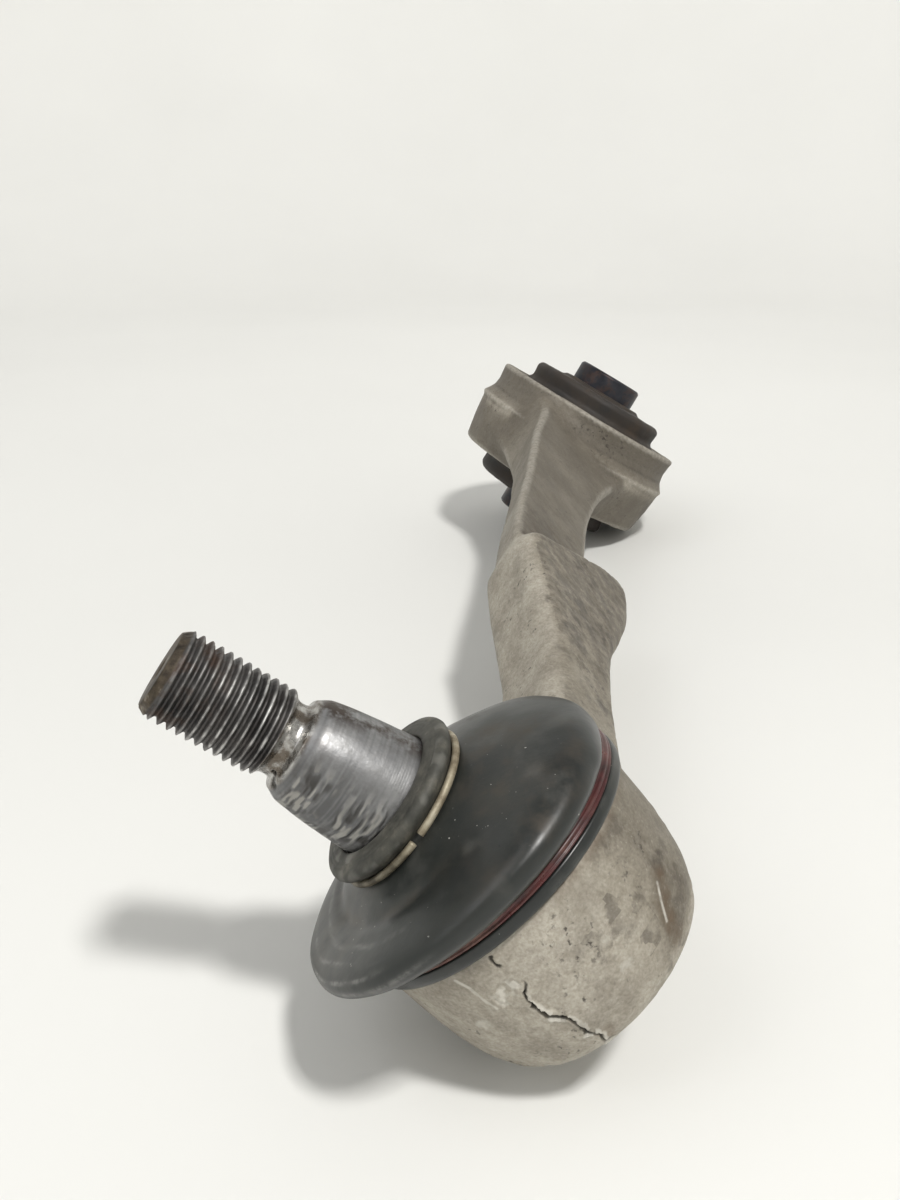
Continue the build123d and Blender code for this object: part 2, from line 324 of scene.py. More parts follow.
def smin(a, b, k):
    h = np.clip(0.5 + 0.5 * (b - a) / k, 0, 1)
    return b + (a - b) * h - k * h * (1 - h)


S_KEYS = [0, 20, 32, 50, 60, 70, 76, 83, 92, 98, 105, 115, 128, 150]
S_HALF_Y = [14, 13.5, 12.6, 11.4, 11.0, 10.8, 10.8, 10.8, 10.9, 11.0, 11.0, 11.0, 11.0, 11.0]
S_TOP = [-0.5, 0.0, 0.4, -0.2, 0.6, 1.9, 3.2, 5.4, 8.3, 10.2, 12.4, 15.2, 16.3, 16.4]
S_TILT = [0.0, 0.0, 0.05, 0.16, 0.22, 0.28, 0.30, 0.31, 0.32, 0.33, 0.35, 0.37, 0.37, 0.37]
S_BOT = [-22.5, -22.2, -21.6, -20.8, -20.0, -19.1, -18.7, -18.4, -18.5, -19.3, -20.8, -22.8, -24.6, -24.8]
N_KEYS = [96, 108, 120, 150, 175, 197, 217, 233, 248, 265]
N_HALF_Y = [6.2, 6.8, 7.3, 7.5, 7.7, 8.5, 9.8, 11.0, 12.0, 12.5]
N_TOP = [6.5, 11.2, 15.5, 16.9, 17.3, 18.2, 19.8, 22.0, 26.0, 28.0]
N_BOT = [-9.0, -8.8, -8.6, -7.8, -7.8, -9.2, -12.0, -15.6, -19.8, -23.0]


def arm_field(x, y, z):
    """Signed field of the forging in the arm frame, mm."""
    # wide part of the bar, ending in a slanted shoulder
    hy = pchip(S_KEYS, S_HALF_Y, x)
    top = pchip(S_KEYS, S_TOP, x)
    bot = pchip(S_KEYS, S_BOT, x)
    slope = pchip(S_KEYS, S_TILT, x)
    dz_top = (z - top + slope * y) / np.sqrt(1 + slope**2)
    dz = np.maximum(dz_top, bot - z)
    wide = rint(np.abs(y) - hy, dz, np.where(y < 0, 6.4, 3.6))
    end = (x - 112.0) * 0.695 + (z - 19.2) * 0.719
    end = rint(end, x - 147.5, 9.0)
    end = np.maximum(end, rint(x - 147.5, bot - z, 13.0))
    wide = rint(wide, end, 2.2)
    wide = np.maximum(wide, 4.0 - x)
    # neck up to the eye
    hy = pchip(N_KEYS, N_HALF_Y, x)
    top = pchip(N_KEYS, N_TOP, x)
    bot = pchip(N_KEYS, N_BOT, x)
    slope = 0.46 * (1 - sstep(203, 243, x))
    dz_top = (z - top + slope * y) / np.sqrt(1 + slope**2)
    dz = np.maximum(dz_top, bot - z)
    neck = rint(np.abs(y - 0.3) - hy, dz, 2.6)
    neck = np.maximum(neck, np.maximum(98 - x, x - 261))
    bar = smin(wide, neck, 2.2)
    # eye for the bush
    px, py, pz = x - BUSH_X, y, z
    v = px * BUSH_L[0] + py * BUSH_L[1] + pz * BUSH_L[2]
    w = np.sqrt(np.maximum(px * px + py * py + pz * pz - v * v, 1e-9))
    outer = np.interp(
        v,
        [-15.7, -13.5, -6.0, 0.0, 2.0, 4.6, 6.6, 9.5, 13.0, 15.7],
        [37.0, 37.4, 38.6, 39.2, 39.3, 38.6, 37.4, 36.9, 37.2, 37.6],
    )
    flash = 0.85 * np.exp(-(((v - 2.9) / 1.05) ** 2))
    eye = rint(w - outer - flash, np.abs(v) - 15.7, 1.3)
    body = smin(bar, eye, 9.0)
    # the fillet stays inside the eye's two end planes and outside its rim bands
    body = np.where(w < 66, np.maximum(body, np.abs(v) - 15.7 - 16.0 * sstep(41.5, 66, w)), body)
    # closed cup of the ball housing
    r = np.hypot(x, y)
    side = pchip([-27, -26, -22, -18, -13, -9, -4, 0.2, 1.2], [19.3, 19.9, 21.75, 23.2, 24.1, 24.5, 24.75, 24.9, 24.8], z)
    cup = rint((r - side) * 0.975, -26.35 - z, 3.4)
    cup = rint(cup, z - 1.2, 0.5)
    body = smin(body, cup, 7.0)
    # step under the boot: nothing stands above the ledge outside the seat
    clear = rint(1.2 - z, r - 29.5, 1.0)
    clear = np.where(z > 8.5, 1e3, clear)
    body = np.where(x < 33, np.maximum(body, -clear), body)
    seat = rint(r - 22.5, z - 8.2, 0.5)
    seat = np.where(z < -2, 1e3, seat)
    body = np.minimum(body, seat)
    # bore of the eye and ball cavity
    bore = rint(w - 31.5, np.abs(v) - 60, 0.1)
    body = rint(body, -bore, 0.7)
    cav = np.maximum(r - 18.5, np.maximum(-18.5 - z, z - 7.0))
    mouth = np.maximum(r - 17.3 - 0.6 * np.maximum(z - 7.2, 0), 0 - z)
    return np.maximum(body, -np.minimum(cav, mouth))


def field_gradient(f, p, h=0.05):
    g = np.zeros_like(p)
    for i in range(3):
        d = np.zeros(3)
        d[i] = h
        a, b = p + d, p - d
        g[:, i] = (f(a[:, 0], a[:, 1], a[:, 2]) - f(b[:, 0], b[:, 1], b[:, 2])) / (2 * h)
    return g


def axis_steps(pieces):
    """Coordinates from (start, end, step) runs."""
    out = []
    for a, b, s in pieces:
        n = max(1, int(round((b - a) / s)))
        out.extend(a + (b - a) * np.arange(n) / n)
    out.append(pieces[-1][1])
    return np.array(out)


xs = axis_steps([(-28.0, 32.0, 0.72), (32.0, 225.0, 1.05), (225.0, 319.0, 0.95)])
ys = axis_steps([(-31.5, 31.5, 0.82)])
zs = axis_steps([(-43.0, 43.0, 0.9)])
gx, gy, gz = np.meshgrid(xs, ys, zs, indexing="ij")
grid = arm_field(gx, gy, gz).astype(np.float32)
arm_v, arm_f = surface_nets(grid, xs, ys, zs)
del gx, gy, gz, grid


def settle(p, f, rounds=3):
    for _ in range(rounds):
        d = f(p[:, 0], p[:, 1], p[:, 2])
        g = field_gradient(f, p)
        n2 = np.maximum((g * g).sum(1), 0.25)
        p = p - np.clip(d / n2, -0.6, 0.6)[:, None] * g * 0.8
    return p


arm_v = settle(arm_v, arm_field)
arm_n = field_gradient(arm_field, arm_v)
arm_n /= np.maximum(np.linalg.norm(arm_n, axis=1), 1e-6)[:, None]


def forged_relief(p, n):
    """Uneven forged skin: broad waves, a pitted finer grain and a few small knocks."""
    px, py, pz = p[:, 0], p[:, 1], p[:, 2]
    rb = np.hypot(px, py)
    q = p - BUSH_O
    v = q @ BUSH_L
    w = np.sqrt(np.maximum((q * q).sum(1) - v * v, 0))
    machined = np.maximum(
        sstep(20.5, 19.0, rb) * (pz > -20), sstep(33.5, 32.0, w)
    )
    machined = np.maximum(machined, (pz > 0.9) & (rb < 30) & (px < 32))
    d = 0.22 * fbm(p, 17.0, 2, 11) + 0.10 * fbm(p, 5.0, 2, 23) + 0.045 * fbm(p, 1.9, 2, 37)
    pits = fbm(p, 2.6, 2, 51)
    d -= 0.16 * sstep(0.36, 0.62, pits)
    d *= 1 - machined
    for c, rad, depth in KNOCKS:
        e = np.linalg.norm(p - np.array(c), axis=1) / rad
        d -= depth * np.exp(-(e**2) * 1.6)
        d += 0.25 * depth * np.exp(-(((e - 1.25) / 0.3) ** 2))
    return p + n * d[:, None]


KNOCKS = [
    ((6.0, -24.2, -12.0), 1.5, 0.35),
    ((-22.57, -9.80, -7.62), 0.8, 0.35),
    ((-23.61, 1.89, -15.79), 0.8, 0.28),
    ((-24.23, 3.63, -8.97), 0.8, 0.28),
    ((-19.24, -9.65, -22.56), 0.7, 0.30),
    ((-23.20, 2.28, -17.57), 0.7, 0.25),
    ((-19.12, -13.82, -16.2), 1.3, 0.40),
    ((-19.95, -14.05, -10.2), 0.9, 0.32),
    ((-24.5, 0.4, -5.9), 1.6, 0.30),
    ((60.0, -11.0, -9.0), 1.6, 0.30),
    ((92.0, -11.2, -12.0), 2.0, 0.35),
    ((126.0, -11.2, -2.0), 1.7, 0.30),
    ((118.0, 2.0, 15.5), 1.5, 0.30),
]
# the crack in the housing wall: points, half width and depth along it
CRACK = np.array([
    (-24.52, -2.76, -5.88), (-24.48, -2.74, -6.83), (-24.51, -1.56, -7.86), (-24.48, -0.96, -9.15),
    (-24.38, -0.76, -10.54), (-24.20, -1.05, -12.12), (-23.99, -1.30, -13.50), (-23.80, -2.20, -14.34),
    (-23.55, -2.95, -15.39), (-23.27, -3.32, -16.64), (-22.94, -3.24, -18.18), (-22.41, -2.85, -19.97),
    (-21.98, -3.56, -20.71), (-21.30, -3.62, -22.36), (-20.42, -3.26, -24.10), (-20.25, -3.95, -24.20),
    (-19.70, -4.70, -24.54), (-19.34, -6.17, -24.50),
])
CRACK_W = np.array([0.12, 0.20, 0.28, 0.36, 0.50, 0.52, 0.52, 0.46, 0.42, 0.38, 0.38, 0.52, 0.36, 0.42, 0.55, 0.34, 0.26, 0.12])
CRACK_D = np.array([0.15, 0.35, 0.55, 0.80, 1.00, 1.05, 1.00, 0.90, 0.80, 0.75, 0.80, 1.00, 0.75, 0.80, 1.00, 0.70, 0.45, 0.15])
LINE = np.array([(-24.36, 5.18, -0.47), (-24.43, 4.43, -2.68), (-24.30, 4.29, -5.55), (-24.29, 3.71, -7.75)])
CHIP = np.array([(-24.54, 2.16, -6.57), (-24.67, 0.47, -5.86), (-24.61, -1.49, -5.77)])
NICK = np.array([(-24.82, -1.78, -0.17), (-24.84, -1.45, -0.99), (-24.78, -1.82, -1.95)])
SMEAR = np.array([(-9.31, -22.34, -12.19), (-10.55, -21.47, -14.42), (-11.49, -20.36, -17.20), (-11.13, -19.26, -20.79)])
SMEAR_B = np.array([(-9.9, -21.9, -12.6), (-11.2, -21.0, -14.8), (-12.1, -19.9, -17.6)])


def near_line(p, pts, vals=()):
    """Distance to a polyline, the signed height over it, and vals read along it."""
    best = np.full(len(p), 1e9)
    side = np.zeros(len(p))
    got = [np.zeros(len(p)) for _ in vals]
    for i in range(len(pts) - 1):
        a, b = pts[i], pts[i + 1]
        d = b - a
        t = np.clip(((p - a) @ d) / (d @ d), 0, 1)
        near = a + t[:, None] * d
        out = near.copy()
        out[:, 2] *= 0.25
        out /= np.linalg.norm(out, axis=1)[:, None]
        e = p - near
        e = e - (e * out).sum(1)[:, None] * out
        dist = np.linalg.norm(e, axis=1)
        dist = np.where(np.linalg.norm(p - near, axis=1) > 4.0, 1e9, dist)
        m = dist < best
        best = np.where(m, dist, best)
        side = np.where(m, e[:, 2] + 0.4 * e[:, 1], side)
        for g, v in zip(got, vals):
            g[m] = (v[i] + (v[i + 1] - v[i]) * t)[m]
    return best, side, got


arm_skin = make_mesh("arm_skin", to_row(arm_v), arm_f)
# finer faces round the crack, so that it is cut into the shape
bm = bmesh.new()
bm.from_mesh(arm_skin.data)
bm.edges.ensure_lookup_table()
mid = np.array([(e.verts[0].co + e.verts[1].co)[:] for e in bm.edges]) * 0.5
mid = (mid / (K * 1e-3) - C) @ ARM
d_line, _, _ = near_line(mid, CRACK)
for pts, reach_mm in ((LINE, 1.0), (CHIP, 1.8), (NICK, 1.2), (SMEAR_B, 1.0)):
    d_mark, _, _ = near_line(mid, pts)
    d_line = np.minimum(d_line, d_mark + 1.5 - reach_mm)
picked = [e for e, m in zip(bm.edges, d_line < 1.5) if m]
bmesh.ops.subdivide_edges(bm, edges=picked, cuts=4, use_grid_fill=True)
bmesh.ops.triangulate(bm, faces=[f for f in bm.faces if len(f.verts) > 4])
bm.to_mesh(arm_skin.data)
bm.free()
arm_skin.data.update()
co = np.zeros(len(arm_skin.data.vertices) * 3)
arm_skin.data.vertices.foreach_get("co", co)
arm_v = (co.reshape(-1, 3) / (K * 1e-3) - C) @ ARM
arm_n = field_gradient(arm_field, arm_v)
arm_n /= np.maximum(np.linalg.norm(arm_n, axis=1), 1e-6)[:, None]
# how convex the skin is at each point, from the field a little out and in
hh = 1.6
lap = np.zeros(len(arm_v))
for d in np.eye(3):
    tan = d - (arm_n @ d)[:, None] * arm_n
    a, b = arm_v + tan * hh, arm_v - tan * hh
    lap += arm_field(a[:, 0], a[:, 1], a[:, 2]) + arm_field(b[:, 0], b[:, 1], b[:, 2])
arm_edge = np.clip(lap / 1.5, -1, 1)
arm_v = forged_relief(arm_v, arm_n)
wob = np.stack([vnoise(arm_v / 1.1, 133 + k) for k in range(3)], 1) * 0.28
wob += np.stack([vnoise(arm_v / 0.45, 143 + k) for k in range(3)], 1) * 0.10
d_line, over, (c_w, c_d) = near_line(arm_v + wob, CRACK, (CRACK_W * 0.70, CRACK_D))
jag = 1 + 0.45 * vnoise(arm_v / 0.7, 131)
c_w = c_w * jag
cut = np.clip(1 - d_line / c_w, 0, 1) ** 0.75
lift = np.exp(-(((d_line - c_w * 1.35) / (0.45 + 0.3 * c_w)) ** 2)) * np.clip(c_d, 0, 1)
lift *= np.where(over < 0, 0.26, 0.08)
arm_v = arm_v - arm_n * (cut * c_d)[:, None] + arm_n * lift[:, None]
crack_fac = np.clip(1.25 - d_line / c_w, 0, 1) ** 1.2 * sstep(0.1, 0.5, c_d)
crack_lip = np.clip(lift / 0.26, 0, 1)
# chipped skin beside the crack and the nick under the boot
d_chip, _, _ = near_line(arm_v + wob * 1.6, CHIP)
chip = sstep(1.35, 0.7, d_chip + 0.45 * vnoise(arm_v / 0.9, 151))
arm_v = arm_v - arm_n * (0.22 * chip)[:, None]
d_nick, nick_over, _ = near_line(arm_v + wob, NICK)
nick_cut = np.clip(1 - d_nick / 0.34, 0, 1)
arm_v = arm_v - arm_n * (0.45 * nick_cut)[:, None]
arm_skin.data.vertices.foreach_set("co", to_row(arm_v).astype(np.float32).ravel())
arm_skin.data.update()
arm_skin.data.polygons.foreach_set("use_smooth", np.ones(len(arm_skin.data.polygons), bool))
arm_skin.data.calc_loop_triangles()
print("arm_skin tris", len(arm_skin.data.loop_triangles))


# ------------------------------------------------------------------ ball stud with its real thread
def stud_radius(t, th):
    """Radius at station t and angle th (arrays of one shape)."""
    pitch, major, depth = 1.5 / K, 6.93 / K, 0.93 / K
    prof_t = [13.6, 14.6, 15.8, 17.0, 17.8, 21.4, 21.8, 36.5, 37.1, 37.8, 38.3, 38.75, 39.05, 39.35, 39.8, 40.5, 41.3, 41.9, 42.5]
    prof_r = [8.40, 8.2, 8.25, 9.4, 10.42, 10.44, 10.41, 8.80, 8.64, 8.28, 7.98, 7.72, 7.55, 6.75, 6.2, 6.04, 6.08, 6.35, 6.9]
    r = pchip(prof_t, prof_r, t)
    # thread
    phase = (t - T_PHASE) / pitch - th / (2 * math.pi)
    x = np.abs(phase - np.round(phase)) * pitch
    tooth = np.clip((x - 0.09) * 1.732, 0, depth)
    tooth = depth - np.sqrt(np.maximum((depth - tooth) ** 2 + 0.0025, 0)) + 0.0
    tooth = np.clip(tooth, 0, depth)
    run = sstep(41.6, 42.9, t) * (1 - 0.85 * sstep(60.0, 60.7, t))
    thread = major - tooth * run
    thread = np.minimum(thread, 6.25 + (61.9 - t) * 0.72)
    r = np.where(t < 42.2, r, np.where(t < 43.2, np.minimum(r + (t - 42.2) * 0.6, thread), thread))
    return r


T_PHASE = 44.816
stud_t = np.concatenate([
    np.linspace(13.7, 22.6, 14),
    np.arange(22.8, 36.4, 0.135),
    np.arange(36.4, 42.2, 0.15),
    np.arange(42.2, 61.9, 0.104),
    [61.9],
])
stud_steps = 232
stud_th = np.arange(stud_steps) * 2 * math.pi / stud_steps
TT, TH = np.meshgrid(stud_t, stud_th, indexing="ij")
RR = stud_radius(TT, TH)
ball_a = np.linspace(-math.pi / 2, math.atan2(math.sqrt(256 - 8.4**2), 8.4), 24)[1:]
ball_r = np.repeat((16 * np.cos(ball_a))[:, None], stud_steps, 1)
ball_t = np.repeat((16 * np.sin(ball_a))[:, None], stud_steps, 1)


def stud_wear(r, t, th):
    """Knocks on the crests, turning marks and the scuffed bands on the seat."""
    flat = np.stack([(r * np.cos(th)).ravel(), (r * np.sin(th)).ravel(), t.ravel()], 1)
    shape = r.shape
    out = r.copy()
    on_thread = (t > 42.6) & (t < 61.8)
    crest = sstep(6.9, 7.3, r)
    nick = fbm(flat, 1.3, 2, 71).reshape(shape)
    out -= on_thread * crest * (0.10 * sstep(0.15, 0.6, nick) + 0.02 * nick)
    grime = fbm(flat, 2.2, 2, 73).reshape(shape)
    out += on_thread * (1 - crest) * 0.14 * sstep(-0.1, 0.5, grime)
    seat = (t > 21.8) & (t < 38.0)
    ring = vnoise(np.stack([t.ravel() / 0.40 + 1.1 * vnoise(flat / 2.4, 83), (np.cos(th) * 4.4).ravel(), (np.sin(th) * 4.4).ravel()], 1), 81)
    ring = ring.reshape(shape)
    low = sstep(0.52, 0.92, np.cos(th - SEAT_LOW)) * sstep(-0.75, -0.25, fbm(flat, 4.5, 2, 89)).reshape(shape)
    out -= seat * low * 0.09 * sstep(0.0, 0.55, ring) * sstep(37.6, 36.4, t)
    out += seat * (0.007 * np.sin(t * 2 * math.pi / 0.42) * sstep(29.5, 24.0, t))
    out += seat * 0.03 * fbm(flat, 2.4, 2, 85).reshape(shape)
    for c0, t0, r0 in PITS:
        e = np.hypot((t - t0) / r0, np.angle(np.exp(1j * (th - c0))) * 6.3 / r0 / 1.2)
        out -= 0.45 * sstep(1.0, 0.3, e)
    # the thread's end is knocked round
    out -= (t > 60.3) * 0.12 * sstep(-0.2, 0.5, fbm(flat, 1.6, 2, 87).reshape(shape))
    return out


# the side of the stud that faces down and out is the scuffed one
SEAT_LOW = math.radians(158)
# SEAT_LIT: angle of the painted highlight band on the seat
SEAT_LIT = math.radians(-112)
SEAT_TOP = math.radians(-66)
# small pits at the shoulder: angle, station, radius
PITS = ((math.radians(150.0), 39.0, 0.75), (math.radians(158.0), 39.9, 0.55), (math.radians(140.0), 40.6, 0.45))
RR = stud_wear(RR, TT, TH)
r_all = np.concatenate([ball_r, RR])
t_all = np.concatenate([ball_t, TT])
stud_p = revolve_points((r_all, t_all), stud_th, STUD_B)
n_ring = r_all.shape[0]
faces = grid_faces(stud_steps, n_ring, False)
# end face: rings in to the centre with a small centre drill mark
cap_r = [5.9, 5.4, 4.4, 3.2, 2.1, 1.6, 0.95, 0.35]
cap_t = [61.98, 62.0, 61.96, 62.0, 61.98, 61.85, 61.2, 60.7]
cap = revolve_points((np.array(cap_r), np.array(cap_t)), stud_th, STUD_B)
n0 = len(stud_p)
stud_p = np.concatenate([stud_p, cap])
last = (n_ring - 1) * stud_steps
rings = [last + np.arange(stud_steps)] + [n0 + k * stud_steps + np.arange(stud_steps) for k in range(len(cap_r))]
extra = []
for a, b in zip(rings[:-1], rings[1:]):
    extra.append(np.stack([a, np.roll(a, -1), np.roll(b, -1), b], 1))
faces = np.concatenate([faces] + extra)
tip_c, ball_c = len(stud_p), len(stud_p) + 1
stud_p = np.concatenate([stud_p, (STUD_L * 60.55)[None], (STUD_L * -16.0)[None]])
quads = [tuple(int(i) for i in f) for f in faces]
tri = [(int(a), int(b), tip_c) for a, b in zip(rings[-1], np.roll(rings[-1], -1))]
first = np.arange(stud_steps)
tri += [(int(b), int(a), ball_c) for a, b in zip(first, np.roll(first, -1))]
me = bpy.data.meshes.new("stud_turned")
me.from_pydata([tuple(p) for p in to_row(stud_p)], [], quads + tri)
me.validate()
me.polygons.foreach_set("use_smooth", np.ones(len(me.polygons), bool))
stud_turned = bpy.data.objects.new("stud_turned", me)
bpy.context.scene.collection.objects.link(stud_turned)
print("stud tris", len(quads) * 2 + len(tri))

# ------------------------------------------------------------------ dust boot
BOOT_STEPS = 224
bt = np.arange(BOOT_STEPS) * 2 * math.pi / BOOT_STEPS
h_dir = np.cos(bt)[:, None] * HOUSE_B[:, 0] + np.sin(bt)[:, None] * HOUSE_B[:, 1]
# matching directions round the stud
s_dir = h_dir - (h_dir @ STUD_L)[:, None] * STUD_L
s_dir /= np.linalg.norm(s_dir, axis=1)[:, None]
EZL = np.array([0.0, 0.0, 1.0])


def on_housing(r, z):
    return h_dir * r + EZL * z


def on_stud(r, t):
    return s_dir * r + STUD_L * t


LEAN = unit(STUD_L - STUD_L[2] * EZL)
lean = h_dir @ LEAN  # 1 on the side the stud leans to, -1 on the far side


def on_collar(r, w):
    return COLLAR_O + c_dir * r + COLLAR_L * w


c_dir = h_dir - (h_dir @ COLLAR_L)[:, None] * COLLAR_L
c_dir /= np.linalg.norm(c_dir, axis=1)[:, None]
# how far the bellows stands out all round: most on the side the stud leans to
BULGE = 29.4 + 3.66 * (h_dir @ np.array([-0.866, 0.5, 0.0]))


def cubic(a, b, c, d, n):
    u = np.linspace(0, 1, n)[:, None, None]
    return a * (1 - u) ** 3 + 3 * b * u * (1 - u) ** 2 + 3 * c * u * u * (1 - u) + d * u**3


def hr(r, z):
    """Point of the housing frame with per-azimuth radius and height."""
    return h_dir * np.asarray(r)[:, None] + EZL * np.asarray(z)[:, None]


def stud_profile(t):
    return stud_radius(t, np.zeros_like(t))


def on_cone(off, w):
    """Point off the cone's skin, at height w over the collar's plane, for each direction."""
    t = np.full(BOOT_STEPS, 22.0)
    r = np.full(BOOT_STEPS, 10.3)
    for _ in range(3):
        r = stud_profile(t) + off
        t = (w + COLLAR_O @ COLLAR_L - r * (s_dir @ COLLAR_L)) / (STUD_L @ COLLAR_L)
    return s_dir * r[:, None] + STUD_L * t[:, None]


one = np.ones(BOOT_STEPS)
wall_a = on_housing(24.5, 5.65)
wall_c = hr(BULGE, 8.9 * one)
wall_d = on_collar(13.5, -2.45)
reach = BULGE - 24.5
under = cubic(wall_a, hr(24.5 + 0.62 * reach + 0.7, 5.75 - 0.02 * reach), hr(BULGE, 8.9 - 2.0 * one), wall_c, 18)
rise = 6.3 - 0.45 * (BULGE - 26.4)
span = np.linalg.norm(wall_d - wall_c, axis=1)
away = c_dir * math.cos(math.radians(27)) - COLLAR_L * math.sin(math.radians(27))
over = cubic(wall_c, hr(BULGE, 8.9 + rise), wall_d + away * (0.42 * span)[:, None], wall_d, 40)
wall_out = np.concatenate([under, over[1:]])
# shallow fold in the wall on the slack side, and slow unevenness of a used boot
uu = np.linspace(0, 1, len(wall_out))[:, None]
slack = np.clip(lean, 0, 1)[None, :] ** 2
fold = 0.55 * np.exp(-(((uu - 0.80) / 0.045) ** 2)) * slack
gi = np.gradient(wall_out, axis=0)
gj = np.roll(wall_out, -1, 1) - np.roll(wall_out, 1, 1)
wn = np.cross(gi, gj)
wn /= np.maximum(np.linalg.norm(wn, axis=2), 1e-9)[..., None]
if (wn[30] * h_dir).sum() < 0:
    wn = -wn
wave = fbm(wall_out.reshape(-1, 3), 9.0, 2, 61).reshape(wall_out.shape[:2])
keep = sstep(0.0, 0.12, uu) * sstep(1.0, 0.9, uu)
wall_in = (wall_out - wn * 1.9)[::2]
wall_out = wall_out + wn * ((0.28 * wave - fold) * keep)[..., None]
outer = [
    on_housing(22.55, 1.25), on_housing(25.9, 1.25), on_housing(26.35, 1.4), on_housing(26.6, 1.8),
    on_housing(26.65, 2.3), on_housing(26.64, 3.1), on_housing(26.58, 3.34), on_housing(26.42, 3.48),
    on_housing(25.9, 3.52), on_housing(24.45, 3.55), on_housing(24.35, 3.8), on_housing(24.35, 4.6),
    on_housing(24.36, 5.3), on_housing(24.4, 5.52),
]
outer += [wall_out[i] for i in range(len(wall_out))]
outer += [
    on_collar(13.2, -2.2), on_collar(13.02, -1.95), on_collar(12.97, -1.6), on_collar(13.0, -1.25),
    on_collar(13.2, -0.98), on_collar(13.65, -0.62), on_collar(14.12, -0.25), on_collar(14.48, 0.2),
    on_collar(14.67, 0.75), on_collar(14.62, 1.3), on_collar(14.4, 1.72), on_collar(14.0, 1.98),
    on_collar(13.5, 2.12), on_collar(13.26, 2.08), on_collar(13.05, 2.2), on_collar(12.6, 2.34),
    on_collar(12.28, 2.34), on_collar(12.1, 2.44), on_collar(11.6, 2.52), on_cone(0.62, 2.52),
    on_cone(0.28, 2.42), on_cone(0.09, 2.15), on_cone(0.06, 1.6), on_cone(0.06, 0.6),
    on_cone(0.05, -0.4), on_stud(10.50, 19.4), on_stud(10.52, 18.9), on_stud(10.60, 18.5),
]
inner = [wall_in[i] for i in range(len(wall_in))][::-1]
inner += [on_housing(23.3, 6.9), on_housing(22.65, 6.0), on_housing(22.55, 3.2)]
boot_rings = np.array(outer + inner)
boot_p = boot_rings.reshape(-1, 3)
boot_f = grid_faces(BOOT_STEPS, len(boot_rings), True)


def outward(o):
    """Turns the faces so that the closed mesh encloses a positive volume."""
    me = o.data
    v = np.zeros(len(me.vertices) * 3)
    me.vertices.foreach_get("co", v)
    v = v.reshape(-1, 3)
    me.calc_loop_triangles()
    t = np.zeros(len(me.loop_triangles) * 3, np.int32)
    me.loop_triangles.foreach_get("vertices", t)
    t = t.reshape(-1, 3)
    vol = np.einsum("ij,ij->i", v[t[:, 0]], np.cross(v[t[:, 1]], v[t[:, 2]])).sum()
    if vol < 0:
        me.flip_normals()
    return o


boot_body = make_mesh("boot_body", to_row(boot_p), boot_f)


# ------------------------------------------------------------------ split wire ring on the collar
def tube(name, centres, radius_a, radius_b, side, up, segs=14):
    """A closed-ended tube of oval section. side and up are per-point unit vectors."""
    n = len(centres)
    ang = np.arange(segs) * 2 * math.pi / segs
    ring = (
        centres[:, None, :]
        + side[:, None, :] * (np.cos(ang) * radius_a)[None, :, None]
        + up[:, None, :] * (np.sin(ang) * radius_b)[None, :, None]
    )
    p = ring.reshape(-1, 3)
    i, j = np.meshgrid(np.arange(n - 1), np.arange(segs), indexing="ij")
    j2 = (j + 1) % segs
    f = [tuple(map(int, q)) for q in np.stack([i * segs + j, i * segs + j2, (i + 1) * segs + j2, (i + 1) * segs + j], -1).reshape(-1, 4)]
    c0, c1 = len(p), len(p) + 1
    p = np.concatenate([p, centres[:1] - (centres[1] - centres[0]) * 0.3, centres[-1:] + (centres[-1] - centres[-2]) * 0.3])
    f += [(int((k + 1) % segs), int(k), c0) for k in range(segs)]
    base = (n - 1) * segs
    f += [(int(base + k), int(base + (k + 1) % segs), c1) for k in range(segs)]
    me = bpy.data.meshes.new(name)
    me.from_pydata([tuple(q) for q in to_row(p)], [], f)
    me.validate()
    me.polygons.foreach_set("use_smooth", np.ones(len(me.polygons), bool))
    o = bpy.data.objects.new(name, me)
    bpy.context.scene.collection.objects.link(o)
    return outward(o)


gap_l = np.array([-0.918, -0.397, 0.0])
g0 = math.atan2(gap_l @ COLLAR_B[:, 1], gap_l @ COLLAR_B[:, 0])
ra = g0 + np.radians(np.linspace(2.0, 355.0, 240))
rdir = np.cos(ra)[:, None] * COLLAR_B[:, 0] + np.sin(ra)[:, None] * COLLAR_B[:, 1]
drift = 0.10 * np.sin(ra * 2 + 0.6)
ring_c = COLLAR_O + rdir * 13.6 + COLLAR_L * (-1.6 + drift)[:, None]
ring_piece = tube("wire_ring", ring_c, 0.58, 0.64, rdir, np.repeat(COLLAR_L[None], len(ra), 0))

# ------------------------------------------------------------------ ribbed lower ring
lower_prof = [
    (24.36, 3.56), (26.1, 3.54), (26.4, 3.60), (26.52, 3.82), (26.42, 4.04), (26.12, 4.15),
    (26.38, 4.28), (26.52, 4.52), (26.52, 4.78), (26.36, 5.0), (26.05, 5.1), (26.2, 5.25),
    (26.22, 5.42), (25.95, 5.58), (24.36, 5.6),
]
lower_piece = lathe("ribbed_ring", densify(np.array(lower_prof + [lower_prof[0]]), 0.5), HOUSE_B, (0, 0, 0), 240)

# ------------------------------------------------------------------ bush pieces
bush_prof = rounded([
    (12.62, -24.36, 0), (15.6, -24.36, 1), (16.8, -23.3, 1), (21.0, -23.05, 1), (25.4, -23.1, 1), (26.8, -21.6, 1), (26.4, -17.0, 1),
    (29.25, -14.2, 1), (29.28, -13.2, 0), (29.28, 13.2, 0), (29.25, 14.2, 1), (26.4, 17.0, 1), (26.8, 21.6, 1), (25.4, 23.1, 1),
    (21.0, 23.05, 1), (16.8, 23.3, 1), (15.6, 24.36, 1), (12.62, 24.36, 0), (12.62, -24.36, 0),
], 0.9)


